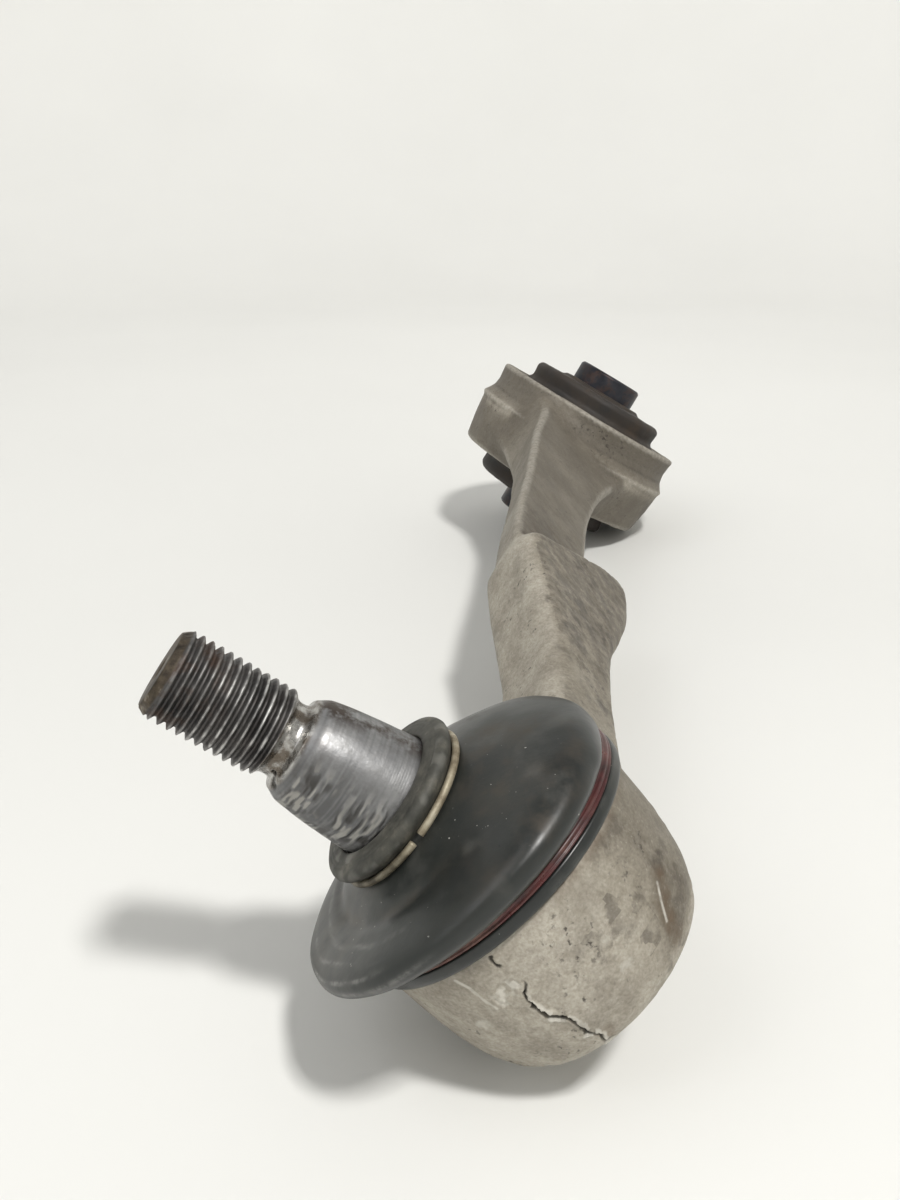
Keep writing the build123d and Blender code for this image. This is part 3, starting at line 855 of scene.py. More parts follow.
def lumpy(amount, scale, seed):
    def f(p):
        d = fbm(p, scale, 2, seed)
        q = p - BUSH_O
        v = (q @ BUSH_L)[:, None] * BUSH_L
        w = q - v
        n = w / np.maximum(np.linalg.norm(w, axis=1), 1e-6)[:, None]
        keep = sstep(13.0, 14.8, np.linalg.norm(w, axis=1)) * sstep(29.2, 28.0, np.linalg.norm(w, axis=1))
        return p + (n + np.sign(q @ BUSH_L)[:, None] * BUSH_L) * (amount * d * keep)[:, None]
    return f


bush_moulding = lathe("bush_moulding", densify(bush_prof, 0.9), BUSH_B, BUSH_O, 200, lumpy(0.22, 6.0, 91))
core_prof = rounded([
    (7.55, -30.6, 0), (8.2, -31.28, 1), (11.8, -31.28, 1), (12.6, -30.5, 1), (12.6, 30.5, 1), (11.8, 31.28, 1),
    (8.2, 31.28, 1), (7.55, 30.6, 0), (7.55, 0.0, 0), (7.55, -30.6, 0),
], 0.35)
bush_core = lathe("bush_core_sleeve", densify(core_prof, 1.5), BUSH_B, BUSH_O, 128)
shell_prof = rounded([
    (29.3, -15.4, 0), (29.6, -15.4, 1), (31.2, -15.4, 1), (31.46, -15.0, 1), (31.46, 15.0, 1), (31.2, 15.4, 1),
    (29.6, 15.4, 1), (29.3, 15.1, 1), (29.3, -15.1, 1), (29.3, -15.4, 0),
], 0.25)
bush_shell = lathe("bush_shell", densify(shell_prof, 1.5), BUSH_B, BUSH_O, 200)

for o in (arm_skin, stud_turned, boot_body, lower_piece, bush_moulding, bush_core, bush_shell):
    outward(o)


# ------------------------------------------------------------------ materials
def new_material(name):
    m = bpy.data.materials.new(name)
    m.use_nodes = True
    nt = m.node_tree
    nt.nodes.clear()
    out = nt.nodes.new("ShaderNodeOutputMaterial")
    bsdf = nt.nodes.new("ShaderNodeBsdfPrincipled")
    nt.links.new(bsdf.outputs[0], out.inputs[0])
    return m, nt, bsdf


class Net:
    """Short hands for node wiring."""

    def __init__(self, nt):
        self.nt = nt
        self.coord = nt.nodes.new("ShaderNodeTexCoord")

    def link(self, a, b):
        self.nt.links.new(a, b)

    def mapping(self, scale=(1, 1, 1), loc=(0, 0, 0), rot=(0, 0, 0)):
        n = self.nt.nodes.new("ShaderNodeMapping")
        n.inputs["Scale"].default_value = scale
        n.inputs["Location"].default_value = loc
        n.inputs["Rotation"].default_value = rot
        self.link(self.coord.outputs["Object"], n.inputs["Vector"])
        return n.outputs[0]

    def noise(self, scale, detail=4.0, rough=0.55, vec=None, distortion=0.0, loc=(0, 0, 0)):
        n = self.nt.nodes.new("ShaderNodeTexNoise")
        n.inputs["Scale"].default_value = scale
        n.inputs["Detail"].default_value = detail
        n.inputs["Roughness"].default_value = rough
        n.inputs["Distortion"].default_value = distortion
        if vec is None:
            vec = self.mapping(loc=loc)
        self.link(vec, n.inputs["Vector"])
        return n.outputs["Fac"]

    def voronoi(self, scale, feature="F1", vec=None, loc=(0, 0, 0), rand=1.0):
        n = self.nt.nodes.new("ShaderNodeTexVoronoi")
        n.feature = feature
        n.inputs["Scale"].default_value = scale
        n.inputs["Randomness"].default_value = rand
        if vec is None:
            vec = self.mapping(loc=loc)
        self.link(vec, n.inputs["Vector"])
        return n.outputs["Distance"]

    def ramp(self, fac, stops):
        n = self.nt.nodes.new("ShaderNodeValToRGB")
        cr = n.color_ramp
        while len(cr.elements) > 1:
            cr.elements.remove(cr.elements[-1])
        cr.elements[0].position = stops[0][0]
        cr.elements[0].color = _rgba(stops[0][1])
        for pos, col in stops[1:]:
            e = cr.elements.new(pos)
            e.color = _rgba(col)
        self.link(fac, n.inputs["Fac"])
        return n.outputs["Color"]

    def mix(self, fac, a, b, mode="MIX"):
        n = self.nt.nodes.new("ShaderNodeMix")
        n.data_type = "RGBA"
        n.blend_type = mode
        n.clamp_factor = True
        for slot, val in ((0, fac), (6, a), (7, b)):
            sock = n.inputs[slot]
            if isinstance(val, (int, float)) and slot == 0:
                sock.default_value = val
            elif isinstance(val, (int, float, tuple)):
                sock.default_value = _rgba(val)
            else:
                self.link(val, sock)
        return n.outputs[2]

    def math(self, op, a, b=None, c=None, clamp=False):
        n = self.nt.nodes.new("ShaderNodeMath")
        n.operation = op
        n.use_clamp = clamp
        for i, val in enumerate((a, b, c)):
            if val is None:
                continue
            if isinstance(val, (int, float)):
                n.inputs[i].default_value = val
            else:
                self.link(val, n.inputs[i])
        return n.outputs[0]

    def attr(self, name):
        n = self.nt.nodes.new("ShaderNodeAttribute")
        n.attribute_name = name
        return n.outputs["Fac"]

    def bump(self, height, strength, distance, normal=None):
        n = self.nt.nodes.new("ShaderNodeBump")
        n.inputs["Strength"].default_value = strength
        n.inputs["Distance"].default_value = distance
        self.link(height, n.inputs["Height"])
        if normal is not None:
            self.link(normal, n.inputs["Normal"])
        return n.outputs[0]


def _rgba(c):
    if isinstance(c, (int, float)):
        return (c, c, c, 1.0)
    return tuple(c) + (1.0,) if len(c) == 3 else tuple(c)


def forged_material():
    m, nt, b = new_material("forged_alloy")
    n = Net(nt)
    big = n.noise(42, 5, 0.6)
    base = n.ramp(big, [(0.30, (0.330, 0.300, 0.250)), (0.52, (0.415, 0.383, 0.325)), (0.72, (0.500, 0.467, 0.405))])
    # clean and dirty sides, with painted light and shade: a lighter up-facing top strip on the bar and a lighter bottom
    # on the cup, darker -y faces
    base = n.mix(1.0, base, n.ramp(n.attr("tone_and_painted_light"), [(0.0, (0.40, 0.385, 0.36)), (0.5, (0.70, 0.685, 0.655)), (1.0, (1.0, 1.0, 1.0))]), "MULTIPLY")
    mid = n.noise(150, 5, 0.62, loc=(0.3, 0.1, 0.7))
    base = n.mix(n.ramp(mid, [(0.42, 0.0), (0.68, 0.42)]), base, (0.16, 0.138, 0.110))
    # sandy grain
    grain = n.noise(2100, 2, 0.5, loc=(0.7, 0.2, 0.1))
    base = n.mix(1.0, base, n.ramp(grain, [(0.30, (0.78, 0.77, 0.75)), (0.66, (1.0, 1.0, 1.0))]), "MULTIPLY")
    grain2 = n.noise(760, 3, 0.6, loc=(0.1, 0.9, 0.6))
    base = n.mix(1.0, base, n.ramp(grain2, [(0.34, (0.84, 0.83, 0.81)), (0.62, (1.0, 1.0, 1.0))]), "MULTIPLY")
    base = n.mix(n.ramp(n.noise(1500, 2, 0.5, loc=(0.4, 0.4, 0.9)), [(0.62, 0.0), (0.76, 0.22)]), base, (0.60, 0.57, 0.51))
    # dark oily stains in patches
    patch = n.noise(62, 3, 0.5, loc=(0.9, 0.4, 0.2))
    spots = n.noise(330, 4, 0.65, loc=(0.5, 0.2, 0.3))
    stain = n.math("MULTIPLY", n.ramp(patch, [(0.46, 0.0), (0.60, 1.0)]), n.ramp(spots, [(0.48, 0.0), (0.62, 0.85)]))
    smudge = n.math("MULTIPLY", n.math("SUBTRACT", n.attr("stain"), 0.98, clamp=True), 40.0, clamp=True)
    stain = n.math("MAXIMUM", n.math("MULTIPLY", stain, n.attr("stain")), n.math("MULTIPLY", smudge, n.ramp(spots, [(0.40, 0.1), (0.58, 0.75)])))
    base = n.mix(stain, base, (0.070, 0.058, 0.046))
    streak = n.math("MULTIPLY", n.attr("streak"), n.ramp(n.noise(420, 4, 0.65, loc=(0.2, 0.2, 0.8)), [(0.40, 0.15), (0.60, 1.0)]))
    base = n.mix(streak, base, (0.085, 0.074, 0.062))
    base = n.mix(n.math("MULTIPLY", n.attr("grime"), n.ramp(mid, [(0.30, 1.0), (0.65, 0.70)])), base, (0.082, 0.070, 0.056))
    base = n.mix(n.math("MULTIPLY", n.attr("brown"), n.ramp(spots, [(0.36, 0.25), (0.60, 1.0)])), base, (0.115, 0.078, 0.047))
    # small dark pits in clusters
    speck = n.noise(820, 3, 0.6, loc=(0.15, 0.85, 0.4))
    cluster = n.ramp(n.noise(85, 3, 0.55, loc=(0.6, 0.6, 0.1)), [(0.50, 0.0), (0.62, 1.0)])
    pitmask = n.math("MULTIPLY", n.ramp(speck, [(0.60, 0.0), (0.68, 0.85)]), cluster)
    base = n.mix(pitmask, base, (0.050, 0.042, 0.035))
    # convex edges are lighter, partly wear and partly a painted highlight; concave corners are darkened as painted
    # shade
    base = n.mix(n.math("MULTIPLY", n.attr("edge_wear_and_highlight"), n.ramp(grain2, [(0.30, 0.3), (0.6, 1.0)])), base, (0.47, 0.445, 0.395))
    base = n.mix(n.attr("corner_shade"), base, (0.060, 0.050, 0.040))
    # light scratches, chips and knocks, plus a painted highlight on the raised lip beside the crack
    base = n.mix(n.math("MULTIPLY", n.attr("scratch_and_lip_highlight"), n.ramp(spots, [(0.34, 0.35), (0.52, 1.0)])), base, (0.74, 0.72, 0.66))
    # the crack and the nick painted near-black: painted shade in their grooves
    base = n.mix(n.attr("crack"), base, (0.016, 0.013, 0.010))
    nt.links.new(base, b.inputs["Base Color"])
    b.inputs["Metallic"].default_value = 0.25
    rough = n.ramp(mid, [(0.35, 0.55), (0.70, 0.74)])
    nt.links.new(rough, b.inputs["Roughness"])
    h = n.math("ADD", n.math("MULTIPLY", grain, 0.35), n.math("MULTIPLY", grain2, 0.8))
    h = n.math("ADD", h, n.noise(260, 4, 0.6, loc=(0.8, 0.3, 0.1)))
    h = n.math("SUBTRACT", h, n.math("MULTIPLY", pitmask, 0.8))
    nt.links.new(n.bump(h, 0.6, 0.00030), b.inputs["Normal"])
    return m


def steel_material():
    m, nt, b = new_material("stud_steel")
    n = Net(nt)
    thread, neck, turning_marks_and_shading = n.attr("thread"), n.attr("neck"), n.attr("turning_marks_and_shading")
    big = n.noise(130, 4, 0.6)
    fine = n.noise(800, 4, 0.6, loc=(0.4, 0.2, 0.9))
    # seat: satin grey with turning lines, plus a painted highlight band on one side and painted shade on the
    # down-facing side
    col_seat = n.ramp(turning_marks_and_shading, [(0.15, (0.120, 0.121, 0.124)), (0.50, (0.235, 0.236, 0.240)), (0.90, (0.40, 0.40, 0.40))])
    col_seat = n.mix(n.ramp(fine, [(0.42, 0.0), (0.72, 0.40)]), col_seat, (0.12, 0.115, 0.11))
    ox = n.noise(260, 4, 0.65, loc=(0.7, 0.1, 0.4))
    oxmask = n.math("MULTIPLY", n.ramp(ox, [(0.44, 0.0), (0.56, 0.9)]), n.attr("oxide"))
    col_seat = n.mix(oxmask, col_seat, (0.055, 0.038, 0.028))
    # painted highlight on the fretting ripple crests
    col_seat = n.mix(n.attr("ripple_crest_highlight"), col_seat, (0.50, 0.485, 0.44))
    # thread: nearly black flanks
    col_thread = n.ramp(big, [(0.35, (0.040, 0.039, 0.040)), (0.65, (0.125, 0.120, 0.117))])
    rust = n.noise(300, 5, 0.65, loc=(0.1, 0.7, 0.2))
    rustmask = n.math("MULTIPLY", n.ramp(rust, [(0.46, 0.0), (0.62, 0.75)]), n.attr("rust"))
    col_thread = n.mix(rustmask, col_thread, (0.085, 0.048, 0.032))
    # bright crest lines: painted highlight along the thread's crests
    col_thread = n.mix(n.math("MULTIPLY", n.attr("crest"), n.ramp(fine, [(0.34, 0.45), (0.55, 1.0)])), col_thread, (0.55, 0.545, 0.53))
    endcol = n.ramp(n.noise(420, 4, 0.65, loc=(0.5, 0.5, 0.1)), [(0.36, (0.045, 0.037, 0.030)), (0.56, (0.105, 0.085, 0.062)), (0.70, (0.34, 0.31, 0.26))])
    col_thread = n.mix(n.attr("endband"), col_thread, endcol)
    col = n.mix(thread, col_seat, col_thread)
    col_neck = n.ramp(fine, [(0.35, (0.24, 0.235, 0.225)), (0.65, (0.52, 0.51, 0.49))])
    grime = n.ramp(n.noise(340, 4, 0.6, loc=(0.9, 0.9, 0.1)), [(0.45, 0.0), (0.58, 0.85)])
    col_neck = n.mix(grime, col_neck, (0.095, 0.072, 0.050))
    col = n.mix(neck, col, col_neck)
    # painted shade in the fretting ripple valleys and pits
    col = n.mix(n.attr("ripple_and_pit_shade"), col, (0.040, 0.036, 0.032))
    nt.links.new(col, b.inputs["Base Color"])
    b.inputs["Metallic"].default_value = 0.85
    r = n.ramp(fine, [(0.35, 0.34), (0.70, 0.50)])
    r = n.mix(neck, r, n.ramp(fine, [(0.35, 0.20), (0.70, 0.38)]))
    r = n.mix(thread, r, n.ramp(big, [(0.35, 0.42), (0.65, 0.60)]))
    r = n.mix(rustmask, r, 0.78)
    nt.links.new(r, b.inputs["Roughness"])
    h = n.math("ADD", fine, n.math("MULTIPLY", ox, 0.6))
    nt.links.new(n.bump(h, 0.35, 0.00012), b.inputs["Normal"])
    return m


def boot_material():
    m, nt, b = new_material("boot_rubber")
    n = Net(nt)
    cloud = n.noise(70, 5, 0.62)
    col = n.ramp(cloud, [(0.32, (0.0095, 0.0115, 0.0110)), (0.60, (0.0155, 0.0178, 0.0165)), (0.78, (0.024, 0.0255, 0.0215))])
    dust = n.math("MULTIPLY", n.attr("dust"), n.ramp(n.noise(190, 5, 0.65, loc=(0.3, 0.8, 0.5)), [(0.42, 0.05), (0.68, 1.0)]))
    col = n.mix(dust, col, (0.060, 0.047, 0.033))
    # grey bloom and scuffed arcs, plus a painted reflection lightening the low side of the bellows
    grey = n.math("MULTIPLY", n.attr("bloom_and_reflection"), n.ramp(n.noise(210, 5, 0.65, loc=(0.7, 0.2, 0.1)), [(0.38, 0.1), (0.66, 1.0)]))
    col = n.mix(grey, col, (0.120, 0.118, 0.108))
    col = n.mix(n.attr("crease"), col, (0.085, 0.066, 0.045))
    col = n.mix(n.math("MULTIPLY", n.attr("scuff"), n.ramp(n.noise(700, 4, 0.65, loc=(0.6, 0.3, 0.3)), [(0.36, 0.2), (0.58, 1.0)])), col, (0.30, 0.295, 0.28))
    spec = n.noise(1300, 2, 0.5, loc=(0.2, 0.6, 0.9))
    few = n.ramp(n.noise(150, 2, 0.5, loc=(0.4, 0.5, 0.8)), [(0.50, 0.0), (0.60, 1.0)])
    speck = n.math("MULTIPLY", n.ramp(spec, [(0.72, 0.0), (0.76, 1.0)]), few)
    col = n.mix(speck, col, (0.45, 0.44, 0.41))
    lipcol = n.ramp(n.noise(380, 4, 0.62, loc=(0.1, 0.1, 0.7)), [(0.35, (0.026, 0.026, 0.021)), (0.58, (0.056, 0.054, 0.044)), (0.72, (0.105, 0.098, 0.078))])
    col = n.mix(n.attr("lip"), col, lipcol)
    col = n.mix(n.attr("lipedge"), col, (0.20, 0.195, 0.175))
    nt.links.new(col, b.inputs["Base Color"])
    r = n.ramp(cloud, [(0.35, 0.27), (0.70, 0.40)])
    r = n.mix(dust, r, 0.66)
    r = n.mix(grey, r, 0.56)
    r = n.mix(n.attr("lip"), r, 0.62)
    nt.links.new(r, b.inputs["Roughness"])
    b.inputs["Specular IOR Level"].default_value = 0.5
    h = n.math("ADD", n.noise(420, 4, 0.55, loc=(0.5, 0.1, 0.2)), n.math("MULTIPLY", speck, 1.2))
    h = n.math("ADD", h, n.math("MULTIPLY", n.noise(1500, 2, 0.5, loc=(0.9, 0.1, 0.4)), 0.25))
    nt.links.new(n.bump(h, 0.16, 0.0002), b.inputs["Normal"])
    return m


def ring_material():
    m, nt, b = new_material("wire_ring_tan")
    n = Net(nt)
    c = n.noise(420, 4, 0.6)
    col = n.ramp(c, [(0.30, (0.16, 0.125, 0.080)), (0.55, (0.37, 0.325, 0.235)), (0.75, (0.50, 0.46, 0.36))])
    # darker over most of the ring's round away from the gap, and in patches
    ring_darkening = n.math("MULTIPLY", n.attr("ring_darkening"), n.ramp(c, [(0.30, 1.0), (0.62, 0.55)]))
    col = n.mix(ring_darkening, col, (0.070, 0.060, 0.040))
    nt.links.new(col, b.inputs["Base Color"])
    b.inputs["Metallic"].default_value = 0.25
    nt.links.new(n.ramp(c, [(0.3, 0.62), (0.7, 0.40)]), b.inputs["Roughness"])
    nt.links.new(n.bump(c, 0.25, 0.0001), b.inputs["Normal"])
    return m


def maroon_material():
    m, nt, b = new_material("lower_ring_red")
    n = Net(nt)
    c = n.noise(240, 4, 0.6)
    col = n.ramp(c, [(0.30, (0.020, 0.007, 0.007)), (0.55, (0.070, 0.015, 0.015)), (0.75, (0.11, 0.032, 0.030))])
    worn = n.math("MULTIPLY", n.attr("worn"), n.ramp(n.noise(520, 4, 0.65, loc=(0.8, 0.1, 0.3)), [(0.40, 0.1), (0.60, 1.0)]))
    col = n.mix(worn, col, (0.20, 0.105, 0.080))
    nt.links.new(col, b.inputs["Base Color"])
    nt.links.new(n.ramp(c, [(0.3, 0.42), (0.7, 0.24)]), b.inputs["Roughness"])
    nt.links.new(n.bump(n.noise(600, 3, 0.5, loc=(0.2, 0.2, 0.2)), 0.15, 0.0001), b.inputs["Normal"])
    return m


def bush_rubber_material():
    m, nt, b = new_material("bush_rubber")
    n = Net(nt)
    c = n.noise(90, 5, 0.62)
    col = n.ramp(c, [(0.32, (0.012, 0.010, 0.009)), (0.58, (0.030, 0.022, 0.016)), (0.78, (0.075, 0.047, 0.027))])
    nt.links.new(col, b.inputs["Base Color"])
    nt.links.new(n.ramp(c, [(0.3, 0.55), (0.7, 0.82)]), b.inputs["Roughness"])
    h = n.noise(380, 4, 0.6, loc=(0.5, 0.1, 0.2))
    nt.links.new(n.bump(h, 0.35, 0.0004), b.inputs["Normal"])
    return m


def dark_steel_material(name, lo, hi, metallic, r0, r1, rust=0.0):
    m, nt, b = new_material(name)
    n = Net(nt)
    c = n.noise(140, 5, 0.62)
    col = n.ramp(c, [(0.32, lo), (0.68, hi)])
    if rust:
        k = n.ramp(n.noise(210, 5, 0.65, loc=(0.4, 0.7, 0.9)), [(0.50, 0.0), (0.62, rust)])
        col = n.mix(k, col, (0.13, 0.062, 0.030))
    nt.links.new(col, b.inputs["Base Color"])
    b.inputs["Metallic"].default_value = metallic
    nt.links.new(n.ramp(c, [(0.3, r0), (0.7, r1)]), b.inputs["Roughness"])
    nt.links.new(n.bump(n.noise(700, 3, 0.6, loc=(0.3, 0.3, 0.6)), 0.2, 0.0002), b.inputs["Normal"])
    return m


def plastic_material():
    m, nt, b = new_material("liner_plastic")
    n = Net(nt)
    c = n.noise(160, 4, 0.6)
    nt.links.new(n.ramp(c, [(0.3, (0.62, 0.59, 0.50)), (0.7, (0.74, 0.71, 0.62))]), b.inputs["Base Color"])
    nt.links.new(n.ramp(c, [(0.3, 0.38), (0.7, 0.52)]), b.inputs["Roughness"])
    return m


# masks carried on the meshes, worked out from the shape
def masks_arm():
    p = arm_v
    q = p - BUSH_O
    v = q @ BUSH_L
    w = np.sqrt(np.maximum((q * q).sum(1) - v * v, 0))
    rb = np.hypot(p[:, 0], p[:, 1])
    x, y, z = p[:, 0], p[:, 1], p[:, 2]
    on_cup = sstep(36, 28, x)
    stain = 0.25 + 0.75 * sstep(40, 75, x) * sstep(160, 140, x)
    stain = np.maximum(stain, 0.60 * sstep(33, 20, x))
    for c0, r0 in (((-20.8, -12.9, -8.9), 2.6), ((-17.2, -17.5, -7.6), 2.4), ((-15.2, -18.2, -15.5), 3.2), ((-14.5, -19.5, -11.6), 2.6), ((-7.4, -23.2, -10.7), 3.0)):
        e = np.linalg.norm(p - np.array(c0), axis=1) / r0
        stain = np.maximum(stain, 2.2 * sstep(1.2, 0.4, e + 0.5 * vnoise(p / 1.3, 191)))
    # fewer stains on the bar's up-facing faces: painted light on its top strip
    stain *= 1 - 0.75 * sstep(0.55, 0.85, arm_n[:, 2]) * sstep(36, 44, x) * sstep(152, 146, x)
    stain *= 1 - 0.75 * on_cup * sstep(-0.80, -0.97, x / np.maximum(rb, 1))
    shelf = sstep(111.5, 116.5, x + (z - 19.0) * 1.02)
    grime = 0.80 * shelf * (0.85 + 0.35 * fbm(p, 12.0, 2, 101))
    # the far neck's side face and the eye are darker, partly dirt and partly painted shade; the up-facing top strip is
    # spared, as painted light
    grime *= 1 - 0.45 * sstep(0.35, 0.8, arm_n[:, 2]) * sstep(245, 225, x)
    rim = sstep(31.4, 33.0, w) * sstep(37.6, 36.4, w) * sstep(14.8, 15.5, np.abs(v))
    grime = grime * (1 - 0.75 * rim)
    # the flash ridge round the eye painted lighter: painted highlight
    flash_ridge_highlight = np.exp(-(((v - 1.5) / 2.6) ** 2)) * sstep(37.4, 38.6, w) * sstep(42.0, 41.0, w)
    # the groove band between the eye's ridges darkened: dirt plus painted shade
    groove_dirt_and_shade = sstep(4.4, 6.4, v) * sstep(15.4, 14.4, v) * sstep(34.5, 36.0, w) * sstep(42.0, 40.5, w)
    grime = np.maximum(grime, 0.80 * groove_dirt_and_shade)
    grime = grime * (1 - 0.85 * flash_ridge_highlight)
    # clean side of the cup against its dirty right side, and the cup's bottom painted lighter as floor bounce; the
    # bar's up-facing top strip painted lighter than its face and its -y faces painted darker, as painted light and
    # shade
    cup_dirt_and_painted_bounce = 0.20 + 0.80 * sstep(-0.30, -0.90, x / np.maximum(rb, 1))
    cup_dirt_and_painted_bounce = np.maximum(cup_dirt_and_painted_bounce, 1.0 * sstep(-19.5, -23.5, z))
    bar_painted_light = 0.50 + 0.52 * sstep(0.35, 0.85, arm_n[:, 2]) * sstep(152, 146, x) - 0.10 * sstep(-0.2, -0.9, arm_n[:, 1])
    tone_and_painted_light = on_cup * cup_dirt_and_painted_bounce + (1 - on_cup) * bar_painted_light
    tone_and_painted_light = tone_and_painted_light + 0.14 * fbm(p, 9.0, 2, 103) + 0.45 * flash_ridge_highlight
    d_smear, _, _ = near_line(p, SMEAR)
    smear = sstep(2.6, 0.8, d_smear + 1.1 * fbm(p, 2.2, 2, 105))
    tone_and_painted_light = tone_and_painted_light - 0.30 * smear
    # slanting streaks on the side face of the bar
    a, c = x * 0.82 + z * 0.57, -x * 0.57 + z * 0.82
    st = fbm(np.stack([a / 8.0, y * 0.05, c / 2.1], 1), 1.0, 2, 107)
    streak = sstep(0.02, 0.38, st) * sstep(-0.55, -0.9, arm_n[:, 1]) * sstep(38, 58, x) * sstep(160, 120, x)
    streak = 0.95 * streak * (0.55 + 0.45 * sstep(-0.3, 0.3, fbm(p, 14.0, 2, 109)))
    brown = 0.8 * sstep(-1.0, 0.6, z) * sstep(30, 20, x) * sstep(22.5, 23.5, rb) * sstep(-0.2, -0.7, y / np.maximum(rb, 1))
    brown = np.maximum(brown, 0.75 * smear)
    d_l, _, _ = near_line(p, LINE)
    d_b, _, _ = near_line(p, SMEAR_B)
    scratch_and_lip_highlight = 0.50 * sstep(0.42, 0.12, d_l + 0.15 * vnoise(p / 1.2, 161))
    scratch_and_lip_highlight = np.maximum(scratch_and_lip_highlight, 0.60 * sstep(0.38, 0.10, d_b))
    scratch_and_lip_highlight = np.maximum(scratch_and_lip_highlight, 0.55 * chip * sstep(-0.4, 0.3, vnoise(p / 0.7, 163)))
    # the raised lip beside the crack painted lighter: painted highlight
    scratch_and_lip_highlight = np.maximum(scratch_and_lip_highlight, 0.60 * crack_lip * sstep(0.2, 0.5, crack_lip))
    for c0, r0, k0 in (((-22.98, 8.4, -9.4), 1.4, 0.45), ((-19.2, -13.8, -16.0), 1.2, 0.35), ((-19.96, -14.0, -10.2), 0.8, 0.35)):
        e = np.linalg.norm(p - np.array(c0), axis=1) / r0
        scratch_and_lip_highlight = np.maximum(scratch_and_lip_highlight, k0 * sstep(1.0, 0.5, e + 0.5 * vnoise(p / 0.6, 165)))
    # crack and nick darkness: painted shade in the cut grooves
    crack = np.clip(crack_fac, 0, 1)
    crack = np.maximum(crack, 0.85 * sstep(0.1, 0.6, nick_cut))
    e = np.linalg.norm(p - np.array([-20.9, -4.8, -22.7]), axis=1)
    brown = np.maximum(brown, 0.6 * sstep(2.2, 0.9, e))
    # convex edges lightened: wear plus painted highlight; concave corners near the cup darkened: painted shade
    edge_wear_and_highlight = (0.20 + 0.25 * (x > 150)) * sstep(0.22, 0.75, arm_edge) * (w > 33.0)
    corner_shade = 0.55 * sstep(-0.12, -0.60, arm_edge) * sstep(20, 30, rb)
    for name, val in (
        ("stain", stain), ("grime", grime), ("tone_and_painted_light", tone_and_painted_light), ("streak", streak), ("brown", brown),
        ("scratch_and_lip_highlight", scratch_and_lip_highlight), ("crack", crack), ("edge_wear_and_highlight", edge_wear_and_highlight), ("corner_shade", corner_shade),
    ):
        float_attr(arm_skin, name, np.clip(val, 0, 1))


def masks_stud():
    r = r_all.ravel()
    t = t_all.ravel()
    n_extra = len(stud_p) - len(r)
    th = np.tile(stud_th, r_all.shape[0])
    flat = np.stack([r * np.cos(th), r * np.sin(th), t], 1)
    thread = sstep(42.3, 42.8, t)
    neck = sstep(38.3, 39.0, t) * sstep(42.9, 42.4, t)
    # where the crests are painted bright: painted highlight
    crest = sstep(7.10, 7.28, r) * thread * sstep(60.9, 60.6, t)
    crest *= (0.30 + 0.70 * sstep(-0.3, 0.4, fbm(flat, 2.0, 2, 111))) * (0.35 + 0.65 * sstep(58.5, 51.0, t))
    rust = sstep(50, 57, t) * 0.8 + 0.12
    endband = sstep(60.5, 60.9, t)
    seat = sstep(14, 22.0, t) * sstep(38.6, 38.0, t)
    ring = vnoise(np.stack([t / 0.40 + 1.1 * vnoise(flat / 2.4, 83), np.cos(th) * 4.4, np.sin(th) * 4.4], 1), 81)
    low = sstep(0.52, 0.92, np.cos(th - SEAT_LOW)) * sstep(-0.75, -0.25, fbm(flat, 4.5, 2, 89))
    # dark ripple valleys and pits are painted shade, light ripple crests a painted highlight
    ripple_and_pit_shade = seat * low * sstep(0.0, 0.42, ring) * 0.72 * sstep(37.8, 36.8, t)
    ripple_crest_highlight = seat * low * sstep(-0.08, -0.45, ring) * 0.48 * sstep(37.8, 36.8, t)
    turning_marks_and_shading = 0.44 + 0.13 * vnoise(np.stack([t / 0.32, np.cos(th) * 0.8, np.sin(th) * 0.8], 1), 121)
    turning_marks_and_shading += 0.14 * fbm(np.stack([t / 6.0, np.cos(th) * 2.2, np.sin(th) * 2.2], 1), 1.0, 2, 123)
    # painted highlight band at SEAT_LIT, painted shade on the down-facing side at SEAT_LOW
    turning_marks_and_shading += 0.20 * np.clip(np.cos(th - SEAT_LIT), 0, 1) ** 6
    turning_marks_and_shading -= 0.22 * sstep(0.6, 0.98, np.cos(th - SEAT_LOW))
    oxide = sstep(0.72, 0.96, np.cos(th - SEAT_TOP)) + 0.22 * sstep(32, 37, t)
    for c0, t0, r0 in PITS:
        e = np.hypot((t - t0) / r0, np.angle(np.exp(1j * (th - c0))) * 6.3 / r0 / 1.2)
        ripple_and_pit_shade = np.maximum(ripple_and_pit_shade, 0.9 * sstep(1.0, 0.6, e))
    ends = {"thread": 1.0, "rust": 0.5, "endband": 1.0}
    for name, val in (
        ("thread", thread), ("neck", neck), ("crest", crest), ("rust", rust), ("endband", endband),
        ("ripple_and_pit_shade", ripple_and_pit_shade), ("ripple_crest_highlight", ripple_crest_highlight), ("turning_marks_and_shading", turning_marks_and_shading), ("oxide", oxide),
    ):
        float_attr(stud_turned, name, np.concatenate([np.clip(val, 0, 1), np.full(n_extra, ends.get(name, 0.0))]))


